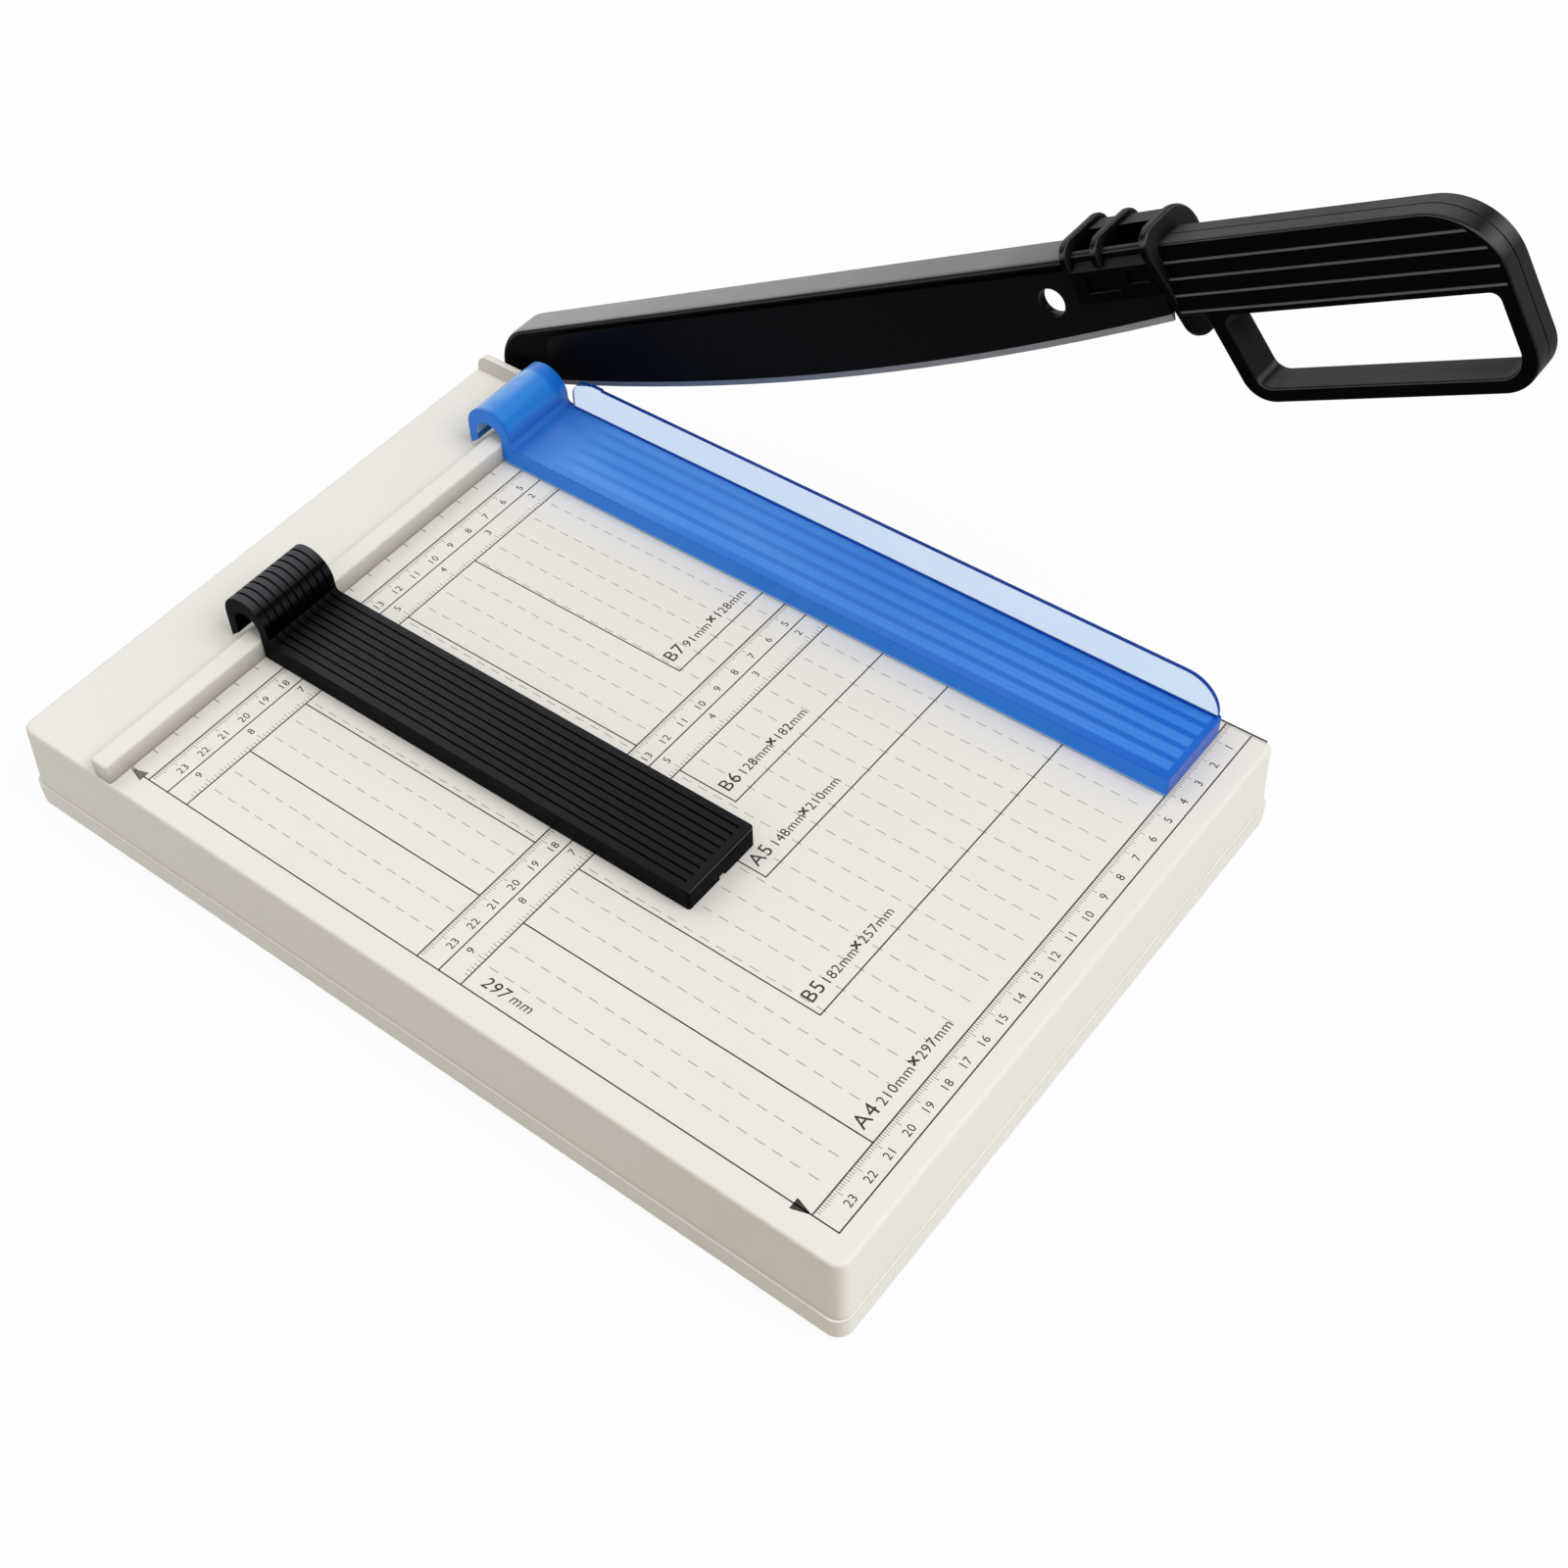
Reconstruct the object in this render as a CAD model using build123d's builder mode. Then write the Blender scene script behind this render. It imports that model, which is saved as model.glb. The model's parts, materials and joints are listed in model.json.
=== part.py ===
"""Lever paper cutter for sheets up to A4.

Sizes are millimetres and angles degrees. The origin lies on the desk under the middle of the table,
+X points to the cutting edge, +Y to the fence rail and +Z up.
The arm stands open by open_angle; the guide and the guard lie on the table.
"""

import os
from math import cos, radians, sin, sqrt, tan

from build123d import *

os.makedirs("parts", exist_ok=True)

# Case
table_width = 251.0
table_length = 363.0
shell_height = 28.5
shell_flare = 1.5
shell_wall = 3.0
table_plate = 3.0
table_edge_radius = 1.5
board_corner_radius = 5.0
blade_corner_radius = 2.5
cavity_corner_radius = 3.0
tray_height = 10.0
tray_lip = 1.0
tray_floor = 3.0
tray_edge_radius = 1.5
tongue_height = 3.0
tongue_thickness = 2.0
tongue_clearance = 0.3
stiffener_thickness = 2.0
stiffener_depth = 8.0
stiffener_inset = 71.5
foot_diameter = 14.0
foot_clearance = 0.2
foot_height = 3.0
foot_proud = 1.5
foot_edge = 0.6
foot_inset_x = 22.5
foot_inset_y = 25.5

# Case screws
boss_diameter = 9.0
boss_inset_x = 25.5
boss_inset_y = 36.5
case_screw_diameter = 3.0
case_screw_length = 12.0
case_head_diameter = 6.0
case_head_height = 2.2
case_head_recess = 3.0
screw_clearance = 0.2
thread_clearance = 0.05
slot_width = 0.9
slot_depth = 1.0

# Ear beside the pivot
ear_thickness = 2.8
ear_height = 7.3
ear_radius = 5.5
ear_length = 37.2
ear_rear_inset = 1.0

# Fence rail
ledge_depth = 40.0
rail_width = 8.2
rail_height = 8.5
rail_near_inset = 5.0
rail_far_inset = 0.8
rail_edge_radius = 0.9
rail_screw_diameter = 3.0
rail_screw_bite = 6.0
rail_screw_count = 4
rail_screw_inset = 11.6
rail_head_diameter = 6.0
rail_head_height = 2.2

# Fixed blade
strip_thickness = 1.5
strip_height = 20.0
strip_end_margin = 2.5
strip_screw_drop = 11.0
strip_screw_count = 4
strip_screw_first = 30.0
strip_screw_inset = 17.3
strip_screw_diameter = 3.0
strip_screw_length = 9.0
strip_head_diameter = 5.4
strip_boss_diameter = 8.0
strip_boss_length = 6.0

# Hooks over the rail
rail_clearance = 0.3
table_gap = 0.3
tunnel_radius = 6.4
tunnel_height = 12.0
hook_wall = 4.3
hook_height = 14.2
toe_height = 2.0
toe_inner_height = 5.6
hook_fillet = 2.0

# Paper guide
guide_from_edge = 139.0
guide_width = 35.0
guide_reach = 198.5
guide_thickness = 9.5
guide_wall = 2.5
guide_skin = 3.2
guide_end_radius = 1.2
guide_hollow_start = 8.0
groove_count = 9
groove_margin = 3.05
groove_width = 0.9
groove_depth = 0.7
groove_end_margin = 3.5
notch_width = 3.0
notch_height = 1.6

# Guard
guard_from_edge = 6.5
guard_width = 35.5
guard_reach = 297.4
guard_thickness = 8.8
guard_skin = 3.0
guard_end_radius = 1.0
guard_hook_drop = 2.4
bay_count = 5
bay_rib = 1.8
bay_margin = 1.9
bay_far_margin = 3.4
bay_start = 20.0
bay_end_margin = 2.0
fin_thickness = 1.6
fin_margin = 0.3
fin_seat = 1.5
fin_seat_clearance = 0.05
fin_start = 9.0
fin_end_margin = 1.0
fin_top = 23.4
fin_left_radius = 8.5
fin_right_radius = 14.0
nub_start = 19.0
nub_length = 5.5
nub_height = 0.6

# Pivot, measured from the rail's face and from the table top
pivot_behind_rail = 26.4
pivot_drop = 10.0
pivot_play = 0.05
bolt_diameter = 6.0
bolt_fit = 0.05
bolt_hole_clearance = 0.2
bolt_head_diameter = 10.0
bolt_head_height = 3.4
bolt_head_radius = 1.4
bolt_socket = 4.0
bolt_socket_depth = 2.0
bolt_end_length = 1.5
washer_diameter = 13.0
washer_thickness = 1.2
spring_height = 1.5
spring_sheet = 0.9
nut_flats = 10.0
nut_height = 5.0

# Arm, measured along it and square to it from the pivot, with its tang down from its back
open_angle = 28.94
blade_gap = 0.15
arm_sheet = 2.0
arm_width = 14.0
arm_back = 30.0
arm_low = 8.0
arm_end = 328.0
back_taper = 2.0
bend_radius = 2.5
end_radius = 24.5
end_center = 16.0
lug_radius = 10.0
lug_center = 1.5
heel = 27.0
tang_length = 50.0
tang_low = 18.0
tang_high = 7.0
shoulder_skin = 0.8

# Moving blade
blade_thickness = 2.0
blade_start = 29.3
blade_end_gap = 3.4
blade_back = 26.5
blade_curve_radius = 1300.0
blade_low_point = 181.0
blade_low = -3.6
blade_corner = 9.0
bevel_height = 2.4
bevel_inner_depth = 0.4
bevel_outer_depth = 1.1
hang_hole_diameter = 10.0
hang_hole_from_end = 45.5
hang_hole_square = 15.0
blade_screw_count = 4
blade_screw_start_inset = 18.7
blade_screw_end_inset = 69.4
blade_screw_square = 18.0
blade_screw_diameter = 3.0
blade_screw_bite = 1.3
blade_head_diameter = 5.6
blade_head_height = 1.8

# Handle, measured along the arm from its end and square to it from its back
grip_inner = 0.7
grip_thickness = 12.3
grip_start = -2.0
grip_end = 102.0
grip_top = -0.7
grip_low = -25.0
grip_droop = 1.2
knuckle_along = 7.4
toe_along = 13.7
toe_square = -55.8
heel_along = 106.2
heel_square = -58.9
grip_top_radius = 22.0
grip_heel_radius = 12.0
grip_toe_radius = 10.0
loop_rim = 5.05
loop_top = -25.8
loop_corner_radius = 3.0
grip_edge = 1.0
seam_depth = 0.35
seam_width = 0.4
line_count = 4
line_pitch = 5.5
line_top = -6.7
line_margin = 1.3
line_width = 0.7
line_height = 0.4
disc_start = -3.2
disc_thickness = 3.2
disc_inner = -6.8
disc_outer = 23.0
disc_top = 5.6
disc_low = -35.8
disc_low_inner = 4.4
disc_top_inner_radius = 6.5
disc_top_outer_radius = 12.0
disc_low_outer_radius = 11.0
disc_low_inner_radius = 9.0
disc_edge = 1.2
collar_count = 2
collar_start = -33.8
collar_spacing = 11.6
collar_thickness = 2.6
collar_inner = -3.5
collar_outer = 22.5
collar_top = 4.6
collar_low = -4.5
collar_inner_radius = 6.0
collar_outer_radius = 5.5
collar_low_radius = 2.0
collar_edge = 0.8
sleeve_start = -33.0
sleeve_inner = -2.0
sleeve_outer = 18.6
sleeve_low = -15.7
wall_top = -5.0
pocket_floor = -6.0
spine_inner = 11.6
spine_top = 2.4
slot_fit = 0.15
slot_low = -26.5
slot_overrun = 0.3
panel_depth = 0.9
panel_high = -7.0
front_panel_start = -28.0
front_panel_end = -16.0
front_panel_low = -12.5
rear_panel_start = -12.5
rear_panel_end = -5.0
rear_panel_low = -10.8
bead_radius = 1.7
bead_across = 1.0
bead_square = -1.2
tang_fit = 0.3
handle_screw_count = 4
handle_screw_first = 14.0
handle_screw_spacing = 24.0
handle_screw_square = -12.0
handle_screw_diameter = 3.0
handle_screw_length = 7.4
handle_head_diameter = 5.6
handle_head_height = 2.4
handle_head_recess = 3.0

# Derived positions
parting_z = foot_proud + tray_height
table_z = parting_z + shell_height
edge_x = table_width / 2
board_x = -table_width / 2
rail_face_y = table_length / 2 - ledge_depth - rail_width
foot_spacing_x = table_width - 2 * foot_inset_x
foot_spacing_y = table_length - 2 * foot_inset_y
boss_spacing_x = table_width - 2 * boss_inset_x
boss_spacing_y = table_length / 2 - boss_inset_y
rail_length = table_width - rail_near_inset - rail_far_inset
rail_middle_x = edge_x - rail_near_inset - rail_length / 2
rail_screw_spacing = (rail_length - 2 * rail_screw_inset) / (rail_screw_count - 1)
stiffener_spacing_x = rail_screw_spacing * (rail_screw_count - 2)
stiffener_spacing_y = table_length / 2 - stiffener_inset
wall_inner_x = edge_x - strip_thickness - shell_wall
ceiling_z = table_z - table_plate
pivot_y = rail_face_y + pivot_behind_rail
pivot_z = table_z - pivot_drop
blade_outer = blade_gap + blade_thickness
plate_outer = blade_outer + arm_sheet
flange_outer = blade_outer + arm_width
hook_radius = tunnel_radius + hook_wall
hook_u = rail_clearance - tunnel_radius
tunnel_rear = hook_u - tunnel_radius
end_square = arm_back - end_radius
grip_outer = grip_inner + grip_thickness
seam_x = grip_inner + grip_thickness / 2
groove_pitch = (guide_width - 2 * groove_margin - groove_width) / (groove_count - 1)
bay_span = guard_width - bay_margin - bay_far_margin
bay_width = (bay_span - (bay_count - 1) * bay_rib) / bay_count
bay_end = guard_reach - bay_end_margin
fin_end = guard_reach - fin_end_margin
blade_end = arm_end - blade_end_gap
shoulder = collar_start + collar_thickness - shoulder_skin
shoulder_along = arm_end + shoulder
hang_hole_along = arm_end - hang_hole_from_end
swing = radians(open_angle)


def from_rail(distance):
    """Y of a point that lies the distance in front of the rail's face."""
    return rail_face_y - distance


def from_edge(distance):
    """X of a point that lies the distance inside the cutting edge."""
    return edge_x - distance


def rail_plane(distance):
    """Plane square to the rail: local x runs from the rail's face to the front, local y up from the table."""
    return Plane(origin=(from_edge(distance), rail_face_y, table_z), x_dir=(0, -1, 0), z_dir=(-1, 0, 0))


def arm_plane(offset):
    """Plane along the arm, offset outside the cutting edge: local x along the arm, local y square to it."""
    along = (0, -cos(swing), sin(swing))
    return Plane(origin=(edge_x + offset, pivot_y, pivot_z), x_dir=along, z_dir=(-1, 0, 0))


def cross_plane(station):
    """Plane across the arm at a station: local x outward from the cutting edge, local y square to the arm."""
    origin = (edge_x, pivot_y - station * cos(swing), pivot_z + station * sin(swing))
    return Plane(origin=origin, x_dir=(1, 0, 0), z_dir=(0, -cos(swing), sin(swing)))


def handle_plane(offset):
    """The arm's plane, moved to the end of the arm's back."""
    return arm_plane(offset).moved(Location((arm_end, arm_back)))


def handle_cross_plane(station):
    """The plane across the arm at a station from its end, moved up to its back."""
    return cross_plane(arm_end + station).moved(Location((0, arm_back)))


def case_outline(grow):
    """Rounded outline of the case, grown on every side but the blade side."""
    with Locations((-grow / 2, 0)):
        Rectangle(table_width + grow, table_length + 2 * grow)
    fillet(vertices().group_by(Axis.X)[0], board_corner_radius)
    fillet(vertices().group_by(Axis.X)[-1], blade_corner_radius)


def cavity_outline(grow):
    """Outline of the space inside the case walls."""
    left = board_x + shell_wall - grow
    length = table_length - 2 * shell_wall + 2 * grow
    with Locations(((left + wall_inner_x) / 2, 0)):
        RectangleRounded(wall_inner_x - left, length, cavity_corner_radius)


def round_corner(point, radius):
    """Round the corner of the current sketch that lies nearest a point."""
    fillet(vertices().sort_by_distance(point)[0], radius)


def hook_section(reach, thickness, drop=0.0, skin=0.0):
    """Side outline of a hook over the rail with its arm; drop lowers the hook, skin pares its outside."""
    crown = hook_height - drop
    spring = tunnel_height - drop
    rear = hook_u - hook_radius + skin
    front = hook_u + hook_radius - skin
    top = thickness - skin
    with BuildLine() as outline:
        Polyline((rear, crown), (rear, toe_height), (tunnel_rear, toe_inner_height))
        Line((tunnel_rear, toe_inner_height), (tunnel_rear, spring))
        ThreePointArc((tunnel_rear, spring), (hook_u, spring + tunnel_radius), (rail_clearance, spring))
        Polyline((rail_clearance, spring), (rail_clearance, table_gap), (reach, table_gap))
        Polyline((reach, table_gap), (reach, top), (front, top), (front, crown))
        ThreePointArc((front, crown), (hook_u, crown + hook_radius - skin), (rear, crown))
    make_face(outline.edges())
    round_corner((front, top), hook_fillet + skin)


def blade_level(along):
    """Height of the curved cutting edge at a distance along the arm."""
    return blade_low + blade_curve_radius - sqrt(blade_curve_radius**2 - (along - blade_low_point) ** 2)


def strip_screw_locations():
    """Screw centres of the fixed blade, on a plane square to X."""
    first = from_rail(strip_screw_first)
    last = strip_end_margin + strip_screw_inset - table_length / 2
    step = (last - first) / (strip_screw_count - 1)
    return Locations(*[(first + i * step, table_z - strip_screw_drop) for i in range(strip_screw_count)])


def rail_screw_locations():
    """Screw centres of the rail, seen from above."""
    start = rail_middle_x - rail_screw_spacing * (rail_screw_count - 1) / 2
    y = rail_face_y + rail_width / 2
    return Locations(*[(start + i * rail_screw_spacing, y) for i in range(rail_screw_count)])


def blade_screw_locations():
    """Screw centres of the moving blade, on the arm's plane."""
    first = blade_start + blade_screw_start_inset
    step = (blade_end - blade_screw_end_inset - first) / (blade_screw_count - 1)
    return Locations(*[(first + i * step, blade_screw_square) for i in range(blade_screw_count)])


def handle_screw_locations(low, high):
    """Screw centres of the handle that lie between two stations, on the handle's plane."""
    stations = [handle_screw_first + i * handle_screw_spacing for i in range(handle_screw_count)]
    return Locations(*[(station, handle_screw_square) for station in stations if low < station < high])


# Top moulding of the case
with BuildPart() as base_top_shell:
    with BuildSketch(Plane.XY.offset(table_z)):
        case_outline(0.0)
    with BuildSketch(Plane.XY.offset(parting_z)):
        case_outline(shell_flare)
    loft()
    fillet(base_top_shell.faces().sort_by(Axis.Z)[-1].edges(), table_edge_radius)
    with BuildSketch(Plane.XY.offset(ceiling_z)):
        cavity_outline(0.0)
    with BuildSketch(Plane.XY.offset(parting_z)):
        cavity_outline(shell_flare)
    loft(mode=Mode.SUBTRACT)
    with BuildSketch(Plane.YZ.offset(edge_x)):
        with Locations((0, table_z - strip_height / 2)):
            Rectangle(table_length - 2 * strip_end_margin, strip_height)
    extrude(amount=-strip_thickness, mode=Mode.SUBTRACT)
    with BuildSketch(rail_plane(strip_thickness)) as ear_side:
        ear_rear = ledge_depth + rail_width - ear_rear_inset
        with Locations((ear_length / 2 - ear_rear, ear_height / 2 - table_edge_radius / 2)):
            Rectangle(ear_length, ear_height + table_edge_radius)
        fillet(ear_side.vertices().group_by(Axis.Y)[-1], ear_radius)
    extrude(amount=ear_thickness)
    with BuildSketch(Plane.XY.offset(ceiling_z - stiffener_depth)):
        with Locations((rail_middle_x, 0)):
            with GridLocations(stiffener_spacing_x, 1, 2, 1):
                Rectangle(stiffener_thickness, table_length - 2 * shell_wall)
        with GridLocations(1, stiffener_spacing_y, 1, 3):
            Rectangle(wall_inner_x - board_x - shell_wall, stiffener_thickness, align=Align.CENTER)
    extrude(amount=stiffener_depth)
    with BuildSketch(Plane.XY.offset(parting_z)):
        with GridLocations(boss_spacing_x, boss_spacing_y, 2, 3):
            Circle(boss_diameter / 2)
    extrude(amount=ceiling_z - parting_z)
    with BuildSketch(Plane.YZ.offset(wall_inner_x)):
        with strip_screw_locations():
            Circle(strip_boss_diameter / 2)
    extrude(amount=-strip_boss_length)
    with BuildSketch(Plane.XY.offset(parting_z)):
        with GridLocations(boss_spacing_x, boss_spacing_y, 2, 3):
            Circle(case_screw_diameter / 2 + thread_clearance)
    extrude(amount=case_screw_length, mode=Mode.SUBTRACT)
    with BuildSketch(Plane.YZ.offset(edge_x)):
        with strip_screw_locations():
            Circle(strip_screw_diameter / 2 + thread_clearance)
        with Locations((pivot_y, pivot_z)):
            Circle(bolt_diameter / 2 + bolt_hole_clearance)
    extrude(amount=-strip_thickness - strip_screw_length, mode=Mode.SUBTRACT)
    with BuildSketch(Plane.XY.offset(ceiling_z)):
        with rail_screw_locations():
            Circle(rail_screw_diameter / 2 + screw_clearance)
    extrude(amount=table_plate, mode=Mode.SUBTRACT)
base_top_shell.part.label = "base_top_shell"

# Bottom pan of the case
with BuildPart() as base_tray:
    with BuildSketch(Plane.XY.offset(foot_proud)):
        case_outline(shell_flare)
        offset(amount=tray_lip)
    extrude(amount=tray_height)
    fillet(base_tray.faces().sort_by(Axis.Z)[0].edges(), tray_edge_radius)
    with BuildSketch(Plane.XY.offset(parting_z)):
        cavity_outline(shell_flare)
        offset(amount=-tongue_clearance)
    extrude(amount=tongue_height)
    with BuildSketch(Plane.XY.offset(foot_proud + tray_floor)):
        cavity_outline(shell_flare)
        offset(amount=-tongue_clearance - tongue_thickness)
    extrude(amount=tray_height - tray_floor + tongue_height, mode=Mode.SUBTRACT)
    with BuildSketch(Plane.XY.offset(foot_proud)):
        with GridLocations(boss_spacing_x, boss_spacing_y, 2, 3):
            Circle(boss_diameter / 2)
    extrude(amount=tray_height)
    with BuildSketch(Plane.XY.offset(foot_proud)):
        with GridLocations(boss_spacing_x, boss_spacing_y, 2, 3):
            Circle(case_screw_diameter / 2 + screw_clearance)
    extrude(amount=tray_height, mode=Mode.SUBTRACT)
    with BuildSketch(Plane.XY.offset(foot_proud)):
        with GridLocations(boss_spacing_x, boss_spacing_y, 2, 3):
            Circle(case_head_diameter / 2 + screw_clearance)
    extrude(amount=case_head_recess, mode=Mode.SUBTRACT)
    with BuildSketch(Plane.XY.offset(foot_proud)):
        with GridLocations(foot_spacing_x, foot_spacing_y, 2, 2):
            Circle(foot_diameter / 2 + foot_clearance)
    extrude(amount=foot_height - foot_proud, mode=Mode.SUBTRACT)
base_tray.part.label = "base_tray"

# Feet
with BuildPart() as rubber_feet:
    with BuildSketch(Plane.XY):
        with GridLocations(foot_spacing_x, foot_spacing_y, 2, 2):
            Circle(foot_diameter / 2)
    extrude(amount=foot_height)
    chamfer(rubber_feet.edges().group_by(Axis.Z)[0], foot_edge)
rubber_feet.part.label = "rubber_feet"

# Screws from the tray into the shell
with BuildPart() as case_screws:
    with BuildSketch(Plane.XY.offset(foot_proud + case_head_recess - case_head_height)):
        with GridLocations(boss_spacing_x, boss_spacing_y, 2, 3):
            Circle(case_head_diameter / 2)
    extrude(amount=case_head_height)
    with BuildSketch(Plane.XY.offset(foot_proud + case_head_recess)):
        with GridLocations(boss_spacing_x, boss_spacing_y, 2, 3):
            Circle(case_screw_diameter / 2)
    extrude(amount=tray_height - case_head_recess + case_screw_length - case_head_height)
    with BuildSketch(Plane.XY.offset(foot_proud + case_head_recess - case_head_height)):
        with GridLocations(boss_spacing_x, boss_spacing_y, 2, 3):
            Rectangle(case_head_diameter, slot_width)
    extrude(amount=slot_depth, mode=Mode.SUBTRACT)
case_screws.part.label = "case_screws"

# Fence rail
with BuildPart() as fence_rail:
    with BuildSketch(Plane.XY.offset(table_z)):
        with Locations((rail_middle_x, rail_face_y + rail_width / 2)):
            Rectangle(rail_length, rail_width)
    extrude(amount=rail_height)
    fillet(fence_rail.edges().filter_by(Axis.Z), rail_edge_radius)
    fillet(fence_rail.faces().sort_by(Axis.Z)[-1].edges(), rail_edge_radius)
    with BuildSketch(Plane.XY.offset(table_z)):
        with rail_screw_locations():
            Circle(rail_screw_diameter / 2 + thread_clearance)
    extrude(amount=rail_screw_bite, mode=Mode.SUBTRACT)
fence_rail.part.label = "fence_rail"

# Screws from inside the shell into the rail
with BuildPart() as rail_screws:
    with BuildSketch(Plane.XY.offset(ceiling_z - rail_head_height)):
        with rail_screw_locations():
            Circle(rail_head_diameter / 2)
    extrude(amount=rail_head_height)
    with BuildSketch(Plane.XY.offset(ceiling_z)):
        with rail_screw_locations():
            Circle(rail_screw_diameter / 2)
    extrude(amount=table_plate + rail_screw_bite - screw_clearance)
    with BuildSketch(Plane.XY.offset(ceiling_z - rail_head_height)):
        with rail_screw_locations():
            Rectangle(rail_head_diameter, slot_width)
    extrude(amount=slot_depth, mode=Mode.SUBTRACT)
rail_screws.part.label = "rail_screws"

# Fixed blade along the cutting edge
with BuildPart() as fixed_blade:
    with BuildSketch(Plane.YZ.offset(edge_x)):
        with Locations((0, table_z - strip_height / 2)):
            Rectangle(table_length - 2 * strip_end_margin, strip_height)
        with Locations((pivot_y, pivot_z)):
            Circle(bolt_diameter / 2 + bolt_hole_clearance, mode=Mode.SUBTRACT)
    extrude(amount=-strip_thickness)
    with Locations(Plane.YZ.offset(edge_x)):
        with strip_screw_locations():
            CounterSinkHole(
                strip_screw_diameter / 2 + screw_clearance,
                strip_head_diameter / 2 + screw_clearance,
                depth=strip_thickness,
            )
fixed_blade.part.label = "fixed_blade"

# Flush screws of the fixed blade
with BuildPart() as fixed_blade_screws:
    with BuildSketch(Plane.YZ.offset(edge_x)):
        with strip_screw_locations():
            Circle(strip_screw_diameter / 2)
    extrude(amount=-strip_thickness - strip_screw_length + screw_clearance)
    with BuildSketch(Plane.YZ.offset(edge_x)):
        with strip_screw_locations():
            Circle(strip_head_diameter / 2)
    extrude(amount=-(strip_head_diameter - strip_screw_diameter) / 2, taper=45)
    with BuildSketch(Plane.YZ.offset(edge_x)):
        with strip_screw_locations():
            Rectangle(slot_width, strip_head_diameter)
    extrude(amount=-slot_depth / 2, mode=Mode.SUBTRACT)
fixed_blade_screws.part.label = "fixed_blade_screws"

# Paper guide
with BuildPart() as paper_guide:
    with BuildSketch(rail_plane(guide_from_edge)):
        hook_section(guide_reach, guide_thickness)
    extrude(amount=guide_width)
    fillet(paper_guide.edges().group_by(Axis.Y)[0].sort_by(Axis.Z)[1:], guide_end_radius)
    with BuildSketch(Plane.XY.offset(table_z + table_gap)):
        hollow_length = guide_reach - guide_wall - guide_hollow_start
        hollow_middle = from_rail(guide_hollow_start + hollow_length / 2)
        with Locations((from_edge(guide_from_edge + guide_width / 2), hollow_middle)):
            Rectangle(guide_width - 2 * guide_wall, hollow_length)
    extrude(amount=guide_thickness - guide_skin - table_gap, mode=Mode.SUBTRACT)
    with BuildSketch(rail_plane(guide_from_edge + (guide_width - notch_width) / 2)):
        with Locations((guide_reach, table_gap)):
            Rectangle(2 * guide_wall, 2 * notch_height)
    extrude(amount=notch_width, mode=Mode.SUBTRACT)
    for i in range(groove_count):
        groove_middle = guide_from_edge + guide_width / 2 + (i - (groove_count - 1) / 2) * groove_pitch
        with BuildSketch(rail_plane(groove_middle - groove_width / 2)):
            hook_section(guide_reach, guide_thickness)
            with BuildSketch(mode=Mode.SUBTRACT):
                hook_section(guide_reach, guide_thickness, skin=groove_depth)
            with Locations((guide_reach, guide_thickness)):
                Rectangle(2 * groove_end_margin, 2 * guide_thickness, mode=Mode.SUBTRACT)
        extrude(amount=groove_width, mode=Mode.SUBTRACT)
paper_guide.part.label = "paper_guide"

# Press plate of the guard
with BuildPart() as guard_plate:
    with BuildSketch(rail_plane(guard_from_edge)):
        hook_section(guard_reach, guard_thickness, guard_hook_drop)
    extrude(amount=guard_width)
    fillet(guard_plate.edges().group_by(Axis.Y)[0].sort_by(Axis.Z)[1:], guard_end_radius)
    with BuildSketch(Plane.XY.offset(table_z + table_gap)):
        bay_middle_x = from_edge(guard_from_edge + bay_margin + bay_span / 2)
        with Locations((bay_middle_x, from_rail((bay_start + bay_end) / 2))):
            with GridLocations(bay_width + bay_rib, 1, bay_count, 1):
                Rectangle(bay_width, bay_end - bay_start)
    extrude(amount=guard_thickness - guard_skin - table_gap, mode=Mode.SUBTRACT)
    with BuildSketch(rail_plane(guard_from_edge + fin_margin - fin_seat_clearance)):
        with Locations(((fin_start + fin_end) / 2, guard_thickness)):
            Rectangle(fin_end - fin_start + 2 * fin_seat_clearance, 2 * fin_seat)
    extrude(amount=fin_thickness + 2 * fin_seat_clearance, mode=Mode.SUBTRACT)
guard_plate.part.label = "guard_plate"

# Clear shield standing on the press plate
with BuildPart() as guard_fin:
    with BuildSketch(rail_plane(guard_from_edge + fin_margin)):
        fin_low = guard_thickness - fin_seat
        with Locations(((fin_start + fin_end) / 2, (fin_low + fin_top) / 2)):
            Rectangle(fin_end - fin_start, fin_top - fin_low)
        round_corner((fin_start, fin_top), fin_left_radius)
        round_corner((fin_end, fin_top), fin_right_radius)
        with Locations((nub_start + nub_length / 2, fin_top)):
            Rectangle(nub_length, 2 * nub_height)
    extrude(amount=fin_thickness)
guard_fin.part.label = "guard_fin"

# Pivot bolt
with BuildPart() as pivot_bolt:
    head_seat = plate_outer + pivot_play + washer_thickness
    nut_outer = -strip_thickness - shell_wall - washer_thickness - spring_height - nut_height
    with BuildSketch(Plane.YZ.offset(edge_x + head_seat)):
        with Locations((pivot_y, pivot_z)):
            Circle(bolt_head_diameter / 2)
    extrude(amount=bolt_head_height)
    fillet(pivot_bolt.edges().sort_by(Axis.X)[-1], bolt_head_radius)
    with BuildSketch(Plane.YZ.offset(edge_x + head_seat + bolt_head_height)):
        with Locations((pivot_y, pivot_z)):
            RegularPolygon(bolt_socket / 2, 6, major_radius=False)
    extrude(amount=-bolt_socket_depth, mode=Mode.SUBTRACT)
    with BuildSketch(Plane.YZ.offset(edge_x + head_seat)):
        with Locations((pivot_y, pivot_z)):
            Circle(bolt_diameter / 2)
    extrude(amount=nut_outer - bolt_end_length - head_seat)
pivot_bolt.part.label = "pivot_bolt"


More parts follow.
